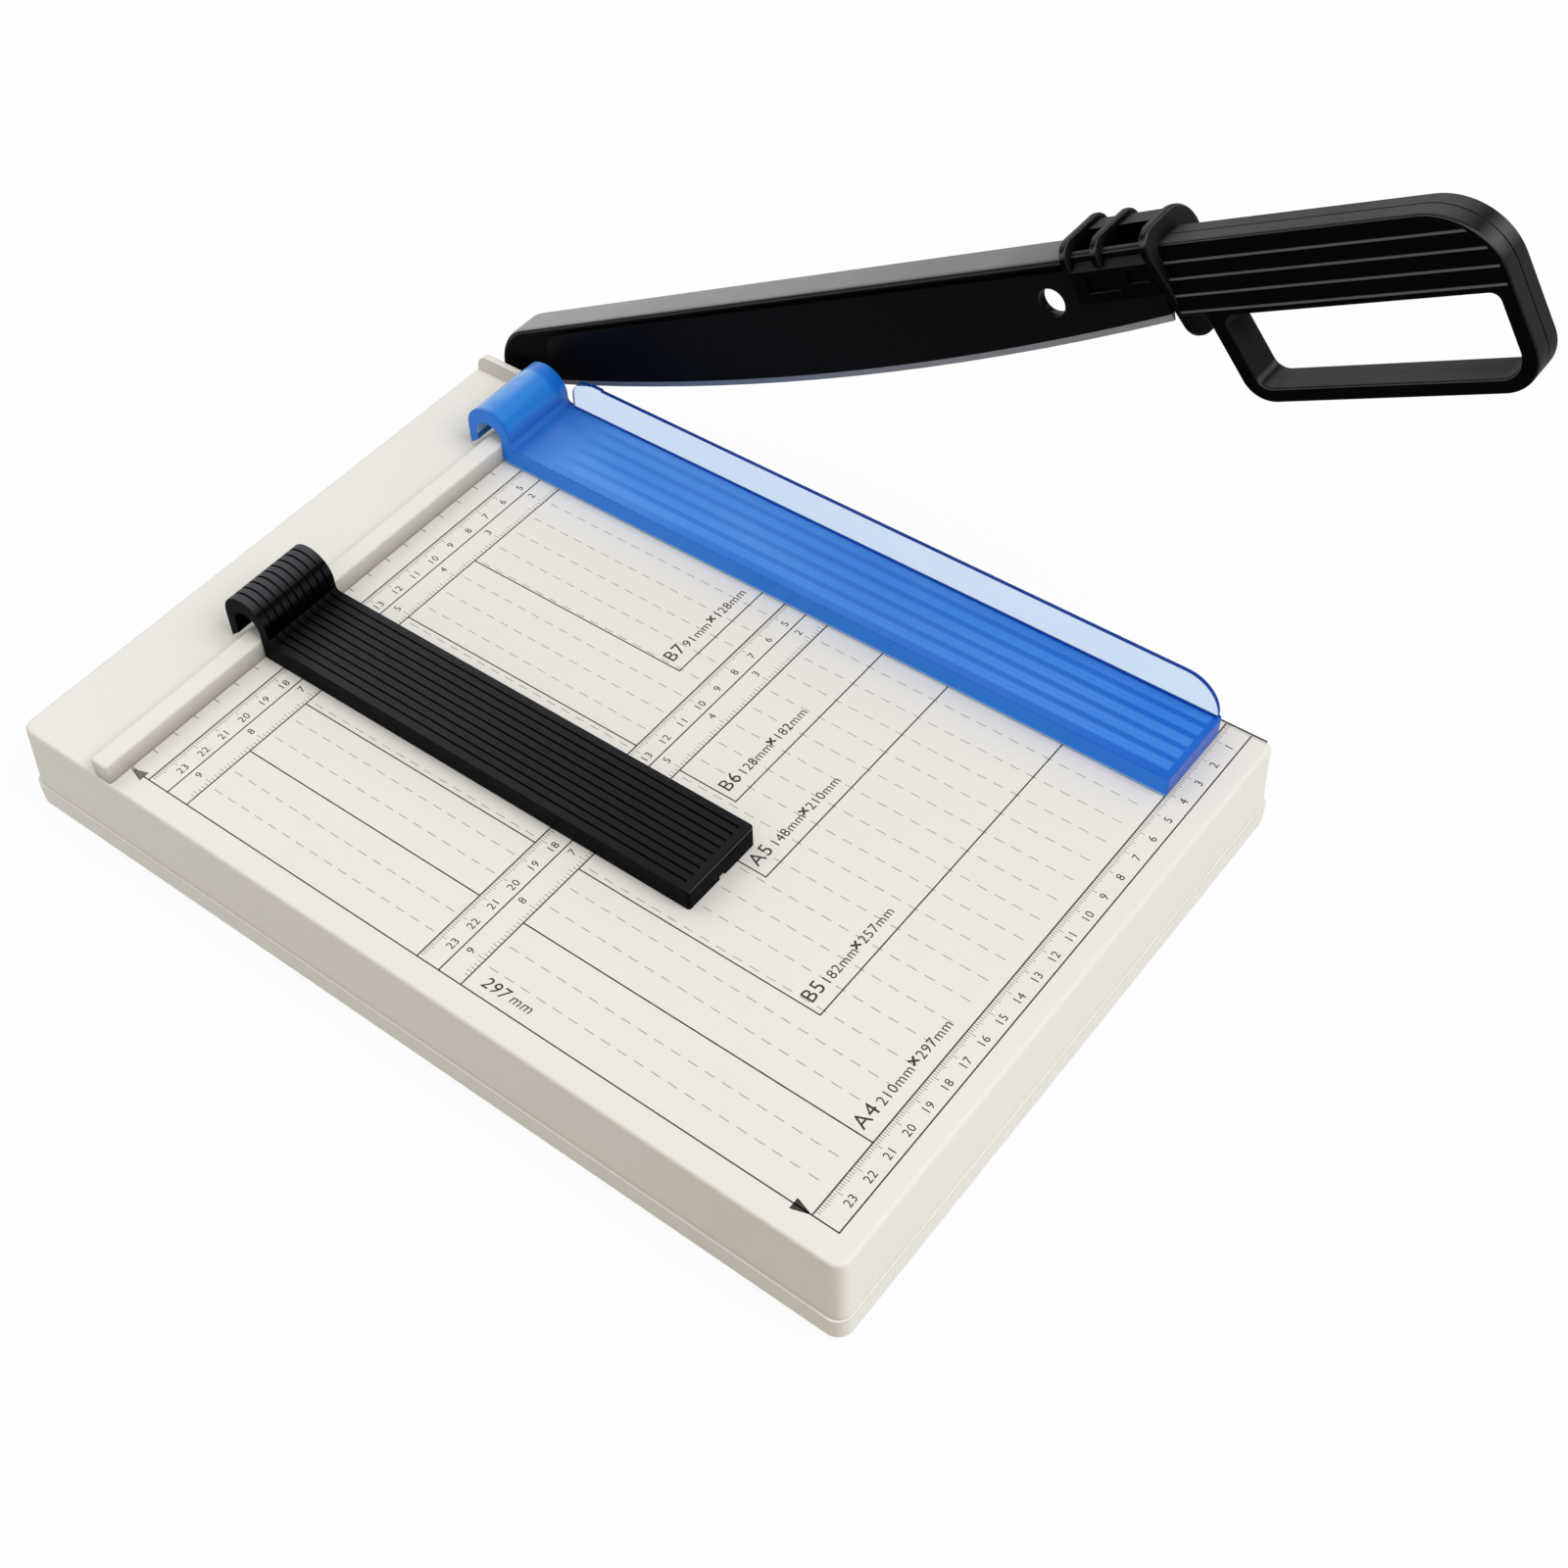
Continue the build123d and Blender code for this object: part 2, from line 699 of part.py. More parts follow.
def pivot_ring(start, thickness):
    """Ring on the pivot bolt from a start outside the cutting edge."""
    with BuildSketch(Plane.YZ.offset(edge_x + start)) as ring:
        with Locations((pivot_y, pivot_z)):
            Circle(washer_diameter / 2)
            Circle(bolt_diameter / 2 + bolt_hole_clearance, mode=Mode.SUBTRACT)
    extrude(ring.sketch, amount=thickness)


# Washer under the bolt head
with BuildPart() as pivot_head_washer:
    pivot_ring(plate_outer + pivot_play, washer_thickness)
pivot_head_washer.part.label = "pivot_head_washer"

# Nylon spacer between the fixed blade and the arm
with BuildPart() as pivot_spacer:
    pivot_ring(0.0, blade_outer - pivot_play)
pivot_spacer.part.label = "pivot_spacer"

# Washer on the inside of the case wall
with BuildPart() as pivot_inner_washer:
    pivot_ring(-strip_thickness - shell_wall - washer_thickness, washer_thickness)
pivot_inner_washer.part.label = "pivot_inner_washer"

# Dished spring washer that keeps the pivot stiff
with BuildPart() as pivot_spring_washer:
    spring_seat = -strip_thickness - shell_wall - washer_thickness
    spring_rise = spring_height - spring_sheet
    bore = bolt_diameter / 2 + bolt_hole_clearance
    rim = washer_diameter / 2
    spring_middle = (edge_x + spring_seat, pivot_y, pivot_z)
    with BuildSketch(Plane(origin=spring_middle, x_dir=(0, 1, 0), z_dir=(0, 0, 1))):
        with BuildLine():
            Polyline((bore, spring_rise), (bore, spring_height), (rim, spring_sheet), (rim, 0), close=True)
        make_face()
    revolve(axis=Axis(spring_middle, (1, 0, 0)))
pivot_spring_washer.part.label = "pivot_spring_washer"

# Nut
with BuildPart() as pivot_nut:
    nut_seat = -strip_thickness - shell_wall - washer_thickness - spring_height
    with BuildSketch(Plane.YZ.offset(edge_x + nut_seat)):
        with Locations((pivot_y, pivot_z)):
            RegularPolygon(nut_flats / 2, 6, major_radius=False)
            Circle(bolt_diameter / 2 + thread_clearance, mode=Mode.SUBTRACT)
    extrude(amount=-nut_height)
pivot_nut.part.label = "pivot_nut"

# Arm: steel angle with a rounded pivot end and a tang for the handle
with BuildPart() as cutter_arm:
    tang_end = arm_end + tang_length
    diagonal = end_radius * sqrt(0.5)
    lug_diagonal = lug_radius * sqrt(0.5)
    with BuildSketch(arm_plane(flange_outer)):
        with BuildLine():
            ThreePointArc(
                (end_center, arm_back),
                (end_center - diagonal, end_square + diagonal),
                (end_center - end_radius, end_square),
            )
            Line((end_center - end_radius, end_square), (lug_center - lug_radius, 0))
            ThreePointArc(
                (lug_center - lug_radius, 0),
                (lug_center - lug_diagonal, -lug_diagonal),
                (lug_center, -lug_radius),
            )
            Polyline(
                (lug_center, -lug_radius),
                (heel, arm_low),
                (arm_end, arm_low),
                (arm_end, arm_back - tang_low),
                (tang_end, arm_back - tang_low),
                (tang_end, arm_back - tang_high),
                (shoulder_along, arm_back - tang_high),
                (shoulder_along, arm_back - back_taper),
                (end_center, arm_back),
            )
        make_face()
    extrude(amount=arm_width)
    inner_edges = cutter_arm.faces().sort_by(Axis.X)[0].edges()
    square_axis = Axis(arm_plane(0).origin, arm_plane(0).y_dir)
    back_edge = inner_edges.filter_by(GeomType.LINE).sort_by(square_axis)[-1]
    end_edge = inner_edges.filter_by(GeomType.CIRCLE).sort_by(SortBy.RADIUS)[-1]
    fillet([back_edge, end_edge], bend_radius)
    with BuildSketch(arm_plane(flange_outer)):
        inner_radius = end_radius - arm_sheet
        inner_diagonal = inner_radius * sqrt(0.5)
        with BuildLine():
            ThreePointArc(
                (end_center, arm_back - arm_sheet),
                (end_center - inner_diagonal, end_square + inner_diagonal),
                (end_center - inner_radius, end_square),
            )
            Polyline(
                (end_center - inner_radius, end_square),
                (end_center - end_radius - lug_radius, end_square),
                (end_center - end_radius - lug_radius, -2 * lug_radius),
                (tang_end + arm_sheet, -2 * lug_radius),
                (tang_end + arm_sheet, arm_back),
                (shoulder_along, arm_back),
                (shoulder_along, arm_back - back_taper - arm_sheet),
                (end_center, arm_back - arm_sheet),
            )
        make_face()
    extrude(amount=arm_width - arm_sheet, mode=Mode.SUBTRACT)
    with BuildSketch(arm_plane(plate_outer)):
        Circle(bolt_diameter / 2 + bolt_fit)
        with Locations((hang_hole_along, hang_hole_square)):
            Circle(hang_hole_diameter / 2)
        with blade_screw_locations():
            Circle(blade_screw_diameter / 2 + screw_clearance)
    extrude(amount=arm_sheet, mode=Mode.SUBTRACT)
    with BuildSketch(handle_plane(plate_outer)):
        with handle_screw_locations(0, tang_length):
            Circle(handle_screw_diameter / 2 + thread_clearance)
    extrude(amount=arm_sheet, mode=Mode.SUBTRACT)
cutter_arm.part.label = "cutter_arm"

# Moving blade
with BuildPart() as moving_blade:
    with BuildSketch(arm_plane(blade_outer)):
        with BuildLine():
            ThreePointArc(
                (blade_start, blade_level(blade_start)),
                (blade_low_point, blade_low),
                (blade_end, blade_level(blade_end)),
            )
            Polyline(
                (blade_end, blade_level(blade_end)),
                (blade_end, arm_back - tang_high),
                (shoulder_along, arm_back - tang_high),
                (shoulder_along, blade_back - back_taper),
                (blade_start, blade_back),
                (blade_start, blade_level(blade_start)),
            )
        make_face()
        round_corner((blade_start, blade_back), blade_corner)
        with Locations((hang_hole_along, hang_hole_square)):
            Circle(hang_hole_diameter / 2, mode=Mode.SUBTRACT)
    extrude(amount=blade_thickness)
    inner_side = moving_blade.faces().sort_by(Axis.X)[0]
    inner_edge = inner_side.edges().filter_by(GeomType.CIRCLE).sort_by(SortBy.RADIUS)[-1]
    chamfer(inner_edge, bevel_height, bevel_inner_depth, reference=inner_side)
    outer_side = moving_blade.faces().sort_by(Axis.X)[-1]
    outer_edge = outer_side.edges().filter_by(GeomType.CIRCLE).sort_by(SortBy.RADIUS)[-1]
    chamfer(outer_edge, bevel_height, bevel_outer_depth, reference=outer_side)
    with BuildSketch(arm_plane(blade_outer)):
        with blade_screw_locations():
            Circle(blade_screw_diameter / 2 + thread_clearance)
    extrude(amount=blade_screw_bite, mode=Mode.SUBTRACT)
moving_blade.part.label = "moving_blade"

# Screws from the arm into the blade
with BuildPart() as blade_screws:
    with BuildSketch(arm_plane(plate_outer + blade_head_height)):
        with blade_screw_locations():
            Circle(blade_head_diameter / 2)
    extrude(amount=blade_head_height)
    with BuildSketch(arm_plane(plate_outer)):
        with blade_screw_locations():
            Circle(blade_screw_diameter / 2)
    extrude(amount=arm_sheet + blade_screw_bite - thread_clearance)
    with BuildSketch(arm_plane(plate_outer + blade_head_height)):
        with blade_screw_locations():
            Rectangle(blade_head_diameter, slot_width)
    extrude(amount=slot_depth, mode=Mode.SUBTRACT)
blade_screws.part.label = "blade_screws"


def grip_face():
    """Side outline of the handle with its rounded corners."""
    top_corner = (grip_end, grip_top - (grip_end - grip_start) * tan(radians(grip_droop)))
    heel_corner = (heel_along, heel_square)
    toe_corner = (toe_along, toe_square)
    with BuildLine() as outline:
        Polyline((grip_start, grip_low), (grip_start, grip_top), top_corner, heel_corner, toe_corner)
        Polyline(toe_corner, (knuckle_along, grip_low), (grip_start, grip_low))
    make_face(outline.edges())
    round_corner(top_corner, grip_top_radius)
    round_corner(heel_corner, grip_heel_radius)
    round_corner(toe_corner, grip_toe_radius)


def loop_face():
    """Finger opening: what lies inside the rim of the outline and below the grip."""
    grip_face()
    offset(amount=-loop_rim)
    with Locations((grip_start, loop_top)):
        above = (Align.CENTER, Align.MIN)
        Rectangle(3 * grip_end, -loop_top, rotation=-grip_droop, align=above, mode=Mode.SUBTRACT)
    fillet(vertices().sort_by(Axis.Y)[-2:], loop_corner_radius)


# Hand guard disc across the front of the grip
with BuildPart() as disc_blank:
    with BuildSketch(handle_cross_plane(disc_start)):
        with BuildLine():
            Polyline(
                (disc_inner, disc_top),
                (disc_outer, disc_top),
                (disc_outer, disc_low),
                (disc_low_inner, disc_low),
                close=True,
            )
        make_face()
        round_corner((disc_inner, disc_top), disc_top_inner_radius)
        round_corner((disc_outer, disc_top), disc_top_outer_radius)
        round_corner((disc_outer, disc_low), disc_low_outer_radius)
        round_corner((disc_low_inner, disc_low), disc_low_inner_radius)
    extrude(amount=disc_thickness)
    fillet(disc_blank.faces().sort_by(SortBy.AREA)[-2:].edges(), disc_edge)

# Collars on the sleeve
with BuildPart() as collar_blank:
    for i in range(collar_count):
        with BuildSketch(handle_cross_plane(collar_start + i * collar_spacing)) as collar_side:
            with Locations(((collar_inner + collar_outer) / 2, (collar_low + collar_top) / 2)):
                Rectangle(collar_outer - collar_inner, collar_top - collar_low)
            fillet(collar_side.vertices().group_by(Axis.Y)[0], collar_low_radius)
            round_corner((collar_inner, collar_top), collar_inner_radius)
            round_corner((collar_outer, collar_top), collar_outer_radius)
        extrude(amount=collar_thickness)
    fillet(collar_blank.faces().sort_by(SortBy.AREA)[-2 * collar_count :].edges(), collar_edge)

# Whole handle before it is parted on its seam
with BuildPart() as handle_blank:
    with BuildSketch(handle_plane(grip_outer)):
        grip_face()
        with BuildSketch(mode=Mode.SUBTRACT):
            loop_face()
    extrude(amount=grip_thickness)
    fillet(handle_blank.faces().sort_by(Axis.X)[0].edges(), grip_edge)
    fillet(handle_blank.faces().sort_by(Axis.X)[-1].edges(), grip_edge)
    with BuildSketch(handle_plane(seam_x + seam_width / 2)):
        grip_face()
        with BuildSketch(mode=Mode.SUBTRACT):
            grip_face()
            offset(amount=-seam_depth)
    extrude(amount=seam_width, mode=Mode.SUBTRACT)
    with BuildSketch(handle_plane(grip_outer + line_height)):
        for i in range(line_count):
            with Locations((grip_start, line_top - i * line_pitch)):
                Rectangle(3 * grip_end, line_width, rotation=-grip_droop)
        with BuildSketch(mode=Mode.INTERSECT):
            grip_face()
            offset(amount=-line_margin)
    extrude(amount=grip_thickness + 2 * line_height)
    add(disc_blank.part)
    add(collar_blank.part)
    with BuildSketch(handle_cross_plane(sleeve_start)):
        with BuildLine():
            Polyline(
                (sleeve_inner, sleeve_low),
                (sleeve_inner, wall_top),
                (bead_across, bead_square),
                (bead_across, pocket_floor),
                (spine_inner, pocket_floor),
                (spine_inner, spine_top),
                (sleeve_outer, spine_top),
                (sleeve_outer, sleeve_low),
                close=True,
            )
        make_face()
        with Locations((bead_across, bead_square)):
            Circle(bead_radius)
    extrude(amount=disc_start - sleeve_start)
    plate_low = arm_low - arm_back
    slot_start = collar_start - slot_overrun
    for inner, outer, low, high, slot_end in [
        (blade_gap, plate_outer, slot_low, -back_taper, shoulder),
        (blade_outer, flange_outer, -back_taper - arm_sheet, -back_taper, shoulder),
        (blade_gap, blade_outer, slot_low, -tang_high, disc_start - slot_fit),
        (blade_outer, plate_outer, plate_low, -tang_high, slot_overrun),
    ]:
        with BuildSketch(handle_cross_plane(slot_start)):
            with Locations(((inner + outer) / 2, (low + high) / 2)):
                Rectangle(outer - inner + 2 * slot_fit, high - low + 2 * slot_fit)
        extrude(amount=slot_end + slot_fit - slot_start, mode=Mode.SUBTRACT)
    with BuildSketch(handle_plane(sleeve_inner + panel_depth)):
        for start, end, low in [
            (front_panel_start, front_panel_end, front_panel_low),
            (rear_panel_start, rear_panel_end, rear_panel_low),
        ]:
            with Locations(((start + end) / 2, (low + panel_high) / 2)):
                Rectangle(end - start, panel_high - low)
    extrude(amount=panel_depth, mode=Mode.SUBTRACT)

tang_middle = (tang_length / 2, -(tang_low + tang_high) / 2)
tang_height = tang_low - tang_high

# Handle half on the board side, with the pocket for the tang
with BuildPart() as handle_inner_half:
    add(handle_blank.part)
    split(bisect_by=Plane(origin=(edge_x + seam_x, 0, 0), z_dir=(1, 0, 0)), keep=Keep.BOTTOM)
    with BuildSketch(handle_plane(seam_x)):
        with Locations(tang_middle):
            Rectangle(tang_length + 2 * tang_fit, tang_height + 2 * tang_fit)
    extrude(amount=seam_x - blade_outer + slot_fit, mode=Mode.SUBTRACT)
    with BuildSketch(handle_plane(seam_x)):
        with handle_screw_locations(tang_length, grip_end):
            Circle(handle_screw_diameter / 2 + thread_clearance)
    extrude(amount=handle_screw_length - grip_thickness / 2 + handle_head_recess, mode=Mode.SUBTRACT)
handle_inner_half.part.label = "handle_inner_half"

# Handle half on the outer side, with the tongue that fills the pocket behind the tang
with BuildPart() as handle_outer_half:
    add(handle_blank.part)
    split(bisect_by=Plane(origin=(edge_x + seam_x, 0, 0), z_dir=(1, 0, 0)), keep=Keep.TOP)
    with BuildSketch(handle_plane(seam_x)):
        with Locations(tang_middle):
            Rectangle(tang_length - 2 * tang_fit, tang_height - 2 * tang_fit)
    extrude(amount=seam_x - plate_outer - slot_fit)
    with BuildSketch(handle_plane(grip_outer + line_height)):
        with handle_screw_locations(0, grip_end):
            Circle(handle_screw_diameter / 2 + screw_clearance)
    extrude(amount=grip_outer + line_height - plate_outer, mode=Mode.SUBTRACT)
    with BuildSketch(handle_plane(grip_outer + line_height)):
        with handle_screw_locations(0, grip_end):
            Circle(handle_head_diameter / 2 + screw_clearance)
    extrude(amount=line_height + handle_head_recess, mode=Mode.SUBTRACT)
handle_outer_half.part.label = "handle_outer_half"

# Screws of the handle
with BuildPart() as handle_screws:
    head_floor = grip_outer - handle_head_recess
    with BuildSketch(handle_plane(head_floor + handle_head_height)):
        with handle_screw_locations(0, grip_end):
            Circle(handle_head_diameter / 2)
    extrude(amount=handle_head_height)
    with BuildSketch(handle_plane(head_floor)):
        with handle_screw_locations(0, grip_end):
            Circle(handle_screw_diameter / 2)
    extrude(amount=handle_screw_length)
    with BuildSketch(handle_plane(head_floor + handle_head_height)):
        with handle_screw_locations(0, grip_end):
            Rectangle(handle_head_diameter, slot_width)
    extrude(amount=slot_depth, mode=Mode.SUBTRACT)
handle_screws.part.label = "handle_screws"

for piece in [
    base_top_shell,
    base_tray,
    rubber_feet,
    case_screws,
    fence_rail,
    rail_screws,
    fixed_blade,
    fixed_blade_screws,
    paper_guide,
    guard_plate,
    guard_fin,
    pivot_bolt,
    pivot_head_washer,
    pivot_spacer,
    pivot_inner_washer,
    pivot_spring_washer,
    pivot_nut,
    cutter_arm,
    moving_blade,
    blade_screws,
    handle_inner_half,
    handle_outer_half,
    handle_screws,
]:
    export_step(piece.part, f"parts/{piece.part.label}.step")
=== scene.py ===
import json
from math import cos, pi, radians, sin

import bmesh
import bpy
from mathutils import Euler, Matrix, Vector


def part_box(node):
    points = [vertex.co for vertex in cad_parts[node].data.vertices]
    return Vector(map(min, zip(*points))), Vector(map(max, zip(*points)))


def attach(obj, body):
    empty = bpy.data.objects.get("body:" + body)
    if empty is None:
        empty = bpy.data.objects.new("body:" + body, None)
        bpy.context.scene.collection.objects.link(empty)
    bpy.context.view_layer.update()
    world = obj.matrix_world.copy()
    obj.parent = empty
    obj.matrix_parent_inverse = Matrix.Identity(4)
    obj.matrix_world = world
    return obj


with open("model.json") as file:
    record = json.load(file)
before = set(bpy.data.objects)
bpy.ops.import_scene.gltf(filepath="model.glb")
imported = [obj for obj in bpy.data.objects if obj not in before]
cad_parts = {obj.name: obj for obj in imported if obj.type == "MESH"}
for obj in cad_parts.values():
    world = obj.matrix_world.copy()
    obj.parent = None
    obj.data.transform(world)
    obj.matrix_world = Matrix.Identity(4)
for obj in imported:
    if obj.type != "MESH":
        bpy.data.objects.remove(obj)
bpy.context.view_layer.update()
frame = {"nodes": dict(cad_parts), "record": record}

MM = 0.001

# Places taken from the frame, in metres
edge_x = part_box("fixed_blade")[1].x
rail_face_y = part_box("fence_rail")[0].y
table_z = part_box("fence_rail")[0].z
joints = {joint["name"]: joint for joint in frame["record"]["behaviour"]["joints"]}
pivot = Vector(joints["arm_swing"]["pos_m"])

# Arm and blade, as the frame holds them
open_angle = radians(28.94)
blade_curve_radius = 1300.0 * MM
blade_low_along = 181.0 * MM
blade_low_square = -3.6 * MM
ground_band = 2.3 * MM
arm_length = 328.0 * MM
grip_sides = (0.7 * MM, 13.0 * MM)
rib_rise = 0.2 * MM

near_black = (0.001, 0.001, 0.0012)
arm_up = (0, sin(open_angle), cos(open_angle))

# Bays under the press plate
bay_count = 5
bay_width = 4.6 * MM
bay_rib = 1.8 * MM
bay_margin = 1.9 * MM
bay_front_margin = 2.0 * MM
bay_rear_start = 20.0 * MM
bay_rear_fade = 16.0 * MM
bay_edge_share = 0.1

# Hook of the press plate, and the foot of its clear sheet
hook_start = 4.0 * MM
hook_tunnel_radius = 6.5 * MM
sheet_foot = (9.7 * MM, 10.2 * MM)

# Print on the table: distances from the rail's face and from the cutting edge, in millimetres
ink_rise = 0.03
ink_sink = 0.05
line_width = 0.5
tick_width = 0.2
dash_width = 0.28
print_start = 1.0
print_end = 240.7
left_ruler = (9.3, 19.0, 28.8)
middle_ruler = (138.3, 147.9, 157.6)
front_ruler = (297.0, 306.8)
scale_length = 23
inch = 25.4
inch_count = 9
inch_parts = 16
tick_lengths = (1.9, 2.5, 3.3)
rail_ticks = (0.1, 2.4)
spare_millimetres = 9
spare_inch_parts = 5
figure_size = 4.3
figure_drop = 7.6
inch_figure_drop = 5.0
dash_length = 3.8
dash_pitch = 6.7
dash_step = 10.0
sheet_sizes = {"B7": (91, 128), "B6": (128, 182), "A5": (148, 210), "B5": (182, 257), "A4": (210, 297)}
name_size = 7.6
note_size = 5.2
letter_space = 1.08
label_lift = 4.6
label_inset = 1.8
name_gap = 1.6
label_gap = 0.8
cross_size = 6.6
cross_bold = 0.12
arrow_length = 6.8
arrow_width = 4.4
arrow_start = 0.2
length_note_start = 162.5
length_note_lift = 3.6
length_note_size = 6.4
length_note_bold = 0.02
length_note_lean = 0.2
length_unit_size = 5.6
length_unit_drop = 0.5

# Camera and light
camera_place = (-0.37273, -0.35824, 0.60454)
camera_turn = (40.0759, 3.4844, -51.0764)
camera_lens = 50.172
camera_shift = (0.0798, 0.0228)
sensor_width = 36.0
clip_start = 0.01
key_place = (0.15, -1.70, 2.45)
key_target = (0, 0, 0.05)
key_size = 1.6
key_power = 46.5
fill_place = (-0.10, 0.75, 0.95)
fill_target = (-0.05, 0.05, 0.04)
fill_size = 0.8
fill_power = 2.3
world_level = 0.55
floor_reach = 6.0
floor_white = 0.92


def table_point(from_rail, from_edge):
    """Point on the table top at two distances in millimetres."""
    return Vector((edge_x - from_edge * MM, rail_face_y - from_rail * MM, table_z))


def arm_point(along, square):
    """Y and Z of a point along the arm and square to it, with the arm open as at rest."""
    y = pivot.y - along * cos(open_angle) + square * sin(open_angle)
    z = pivot.z + along * sin(open_angle) + square * cos(open_angle)
    return y, z


def along_arm(n):
    """Distance along the arm from its pivot, as a shader value."""
    _, y, z = n.axes()
    level = n.math("MULTIPLY", n.math("SUBTRACT", pivot.y, y), cos(open_angle))
    climb = n.math("MULTIPLY", n.math("SUBTRACT", z, pivot.z), sin(open_angle))
    return n.math("ADD", level, climb)


def reach_from(n, middle_y, middle_z):
    """Distance from a line along X, as a shader value."""
    _, y, z = n.axes()
    level = n.math("POWER", n.math("SUBTRACT", y, middle_y), 2.0)
    climb = n.math("POWER", n.math("SUBTRACT", z, middle_z), 2.0)
    return n.math("SQRT", n.math("ADD", level, climb))


class Nodes:
    """Short ways to make and join the nodes of one material."""

    def __init__(self, name):
        self.material = bpy.data.materials.new(name)
        self.material.use_nodes = True
        self.tree = self.material.node_tree
        self.shader = self.tree.nodes["Principled BSDF"]
        self.place = self.tree.nodes.new("ShaderNodeTexCoord").outputs["Object"]

    def node(self, kind, **values):
        made = self.tree.nodes.new(kind)
        for key, value in values.items():
            setattr(made, key, value)
        return made

    def join(self, source, target):
        """Link an output to an input, or write a constant into it."""
        if isinstance(source, bpy.types.NodeSocket):
            self.tree.links.new(source, target)
        else:
            target.default_value = source

    def math(self, operation, *values):
        made = self.node("ShaderNodeMath", operation=operation)
        for value, target in zip(values, made.inputs):
            self.join(value, target)
        return made.outputs[0]

    def axes(self, vector=None):
        made = self.node("ShaderNodeSeparateXYZ")
        self.join(vector or self.place, made.inputs[0])
        return made.outputs

    def noise(self, scale, detail=3.0, stretch=(1, 1, 1)):
        """Noise in object space, from 0 to 1; scale is in cycles a metre."""
        mapping = self.node("ShaderNodeMapping")
        self.join(self.place, mapping.inputs["Vector"])
        mapping.inputs["Scale"].default_value = stretch
        made = self.node("ShaderNodeTexNoise")
        self.join(mapping.outputs[0], made.inputs["Vector"])
        made.inputs["Scale"].default_value = scale
        made.inputs["Detail"].default_value = detail
        return made.outputs["Fac"]

    def ramp(self, value, low, high, start=0.0, end=1.0, smooth=False):
        """Map a value from low..high to start..end, held at both ends."""
        made = self.node("ShaderNodeMapRange", interpolation_type="SMOOTHSTEP" if smooth else "LINEAR")
        for source, target in zip((value, low, high, start, end), made.inputs):
            self.join(source, target)
        return made.outputs[0]

    def blend(self, factor, first, second):
        """Mix two colours."""
        made = self.node("ShaderNodeMix", data_type="RGBA")
        self.join(factor, made.inputs[0])
        for source, target in ((first, made.inputs[6]), (second, made.inputs[7])):
            self.join(source if isinstance(source, bpy.types.NodeSocket) else (*source, 1.0), target)
        return made.outputs[2]

    def rounded_normal(self, radius):
        """World normal with the sharp edges rounded over a radius."""
        made = self.node("ShaderNodeBevel", samples=4)
        made.inputs["Radius"].default_value = radius
        return made.outputs[0]

    def facing(self, direction, radius):
        """How far the rounded surface faces a direction of the rest frame, from -1 to 1."""
        turn = self.node("ShaderNodeVectorTransform", vector_type="NORMAL")
        turn.convert_from = "WORLD"
        turn.convert_to = "OBJECT"
        self.join(self.rounded_normal(radius), turn.inputs[0])
        made = self.node("ShaderNodeVectorMath", operation="DOT_PRODUCT")
        self.join(turn.outputs[0], made.inputs[0])
        made.inputs[1].default_value = direction
        return made.outputs["Value"]

    def open_share(self, distance):
        """Share of the surroundings that a point sees within a distance."""
        made = self.node("ShaderNodeAmbientOcclusion", samples=8)
        made.inputs["Distance"].default_value = distance
        return made.outputs["AO"]

    def bump(self, height, strength, distance, radius=None):
        """Send a height to the shader's normal, over rounded edges if a radius is given."""
        made = self.node("ShaderNodeBump")
        made.inputs["Strength"].default_value = strength
        made.inputs["Distance"].default_value = distance
        self.join(height, made.inputs["Height"])
        if radius:
            self.join(self.rounded_normal(radius), made.inputs["Normal"])
        self.join(made.outputs[0], self.shader.inputs["Normal"])

    def set(self, **sockets):
        """Set the shader's sockets, with spaces written as underscores."""
        for key, value in sockets.items():
            self.join(value, self.shader.inputs[key.replace("_", " ")])


def ivory_plastic(name):
    """Warm white moulding with a satin grain and slight clouding; returns its nodes and its colour."""
    n = Nodes(name)
    cloud = n.blend(n.ramp(n.noise(14), 0.35, 0.65), (0.80, 0.768, 0.705), (0.785, 0.758, 0.705))
    colour = n.blend(n.ramp(n.noise(900), 0.55, 0.75, 0.0, 0.2), cloud, (0.72, 0.68, 0.61))
    n.set(Roughness=n.ramp(n.noise(120), 0.3, 0.7, 0.42, 0.52), Specular_IOR_Level=0.4)
    return n, colour


def ivory_case():
    """Case moulding with painted shade on the board side, deepest at its front, and a little painted shade
    on its front end.
    """
    n, colour = ivory_plastic("ivory_case")
    # Painted shade: the board side darkens, most at its front, and the front end darkens a little.
    board_side = n.ramp(n.facing((-1, 0, 0), 0.8 * MM), 0.2, 0.9)
    shade_towards_front = n.ramp(n.axes()[1], -0.2, 0.2, 1.0, 0.5)
    end = n.ramp(n.facing((0, -1, 0), 0.8 * MM), 0.2, 0.9, 0.0, 0.5)
    with_painted_light = n.blend(end, colour, (0.74, 0.705, 0.64))
    n.set(Base_Color=n.blend(n.math("MULTIPLY", board_side, shade_towards_front), with_painted_light, (0.60, 0.545, 0.445)))
    n.bump(n.noise(1800), 0.10, 0.1 * MM, 0.8 * MM)
    return n.material


def ivory_rail():
    """Rail moulding with soft edges, and painted shade on its sides that deepens towards its foot."""
    n, colour = ivory_plastic("ivory_rail")
    # Painted shade on the rail's sides, darkest at its foot by the table.
    side = n.ramp(n.facing((0, 0, 1), 1.6 * MM), 0.1, 0.9, 1.0, 0.0)
    foot = n.ramp(n.axes()[2], table_z, table_z + 8 * MM, 0.95, 0.3)
    n.set(Base_Color=n.blend(n.math("MULTIPLY", side, foot), colour, (0.33, 0.30, 0.245)))
    n.bump(n.noise(1800), 0.10, 0.1 * MM, 1.6 * MM)
    return n.material


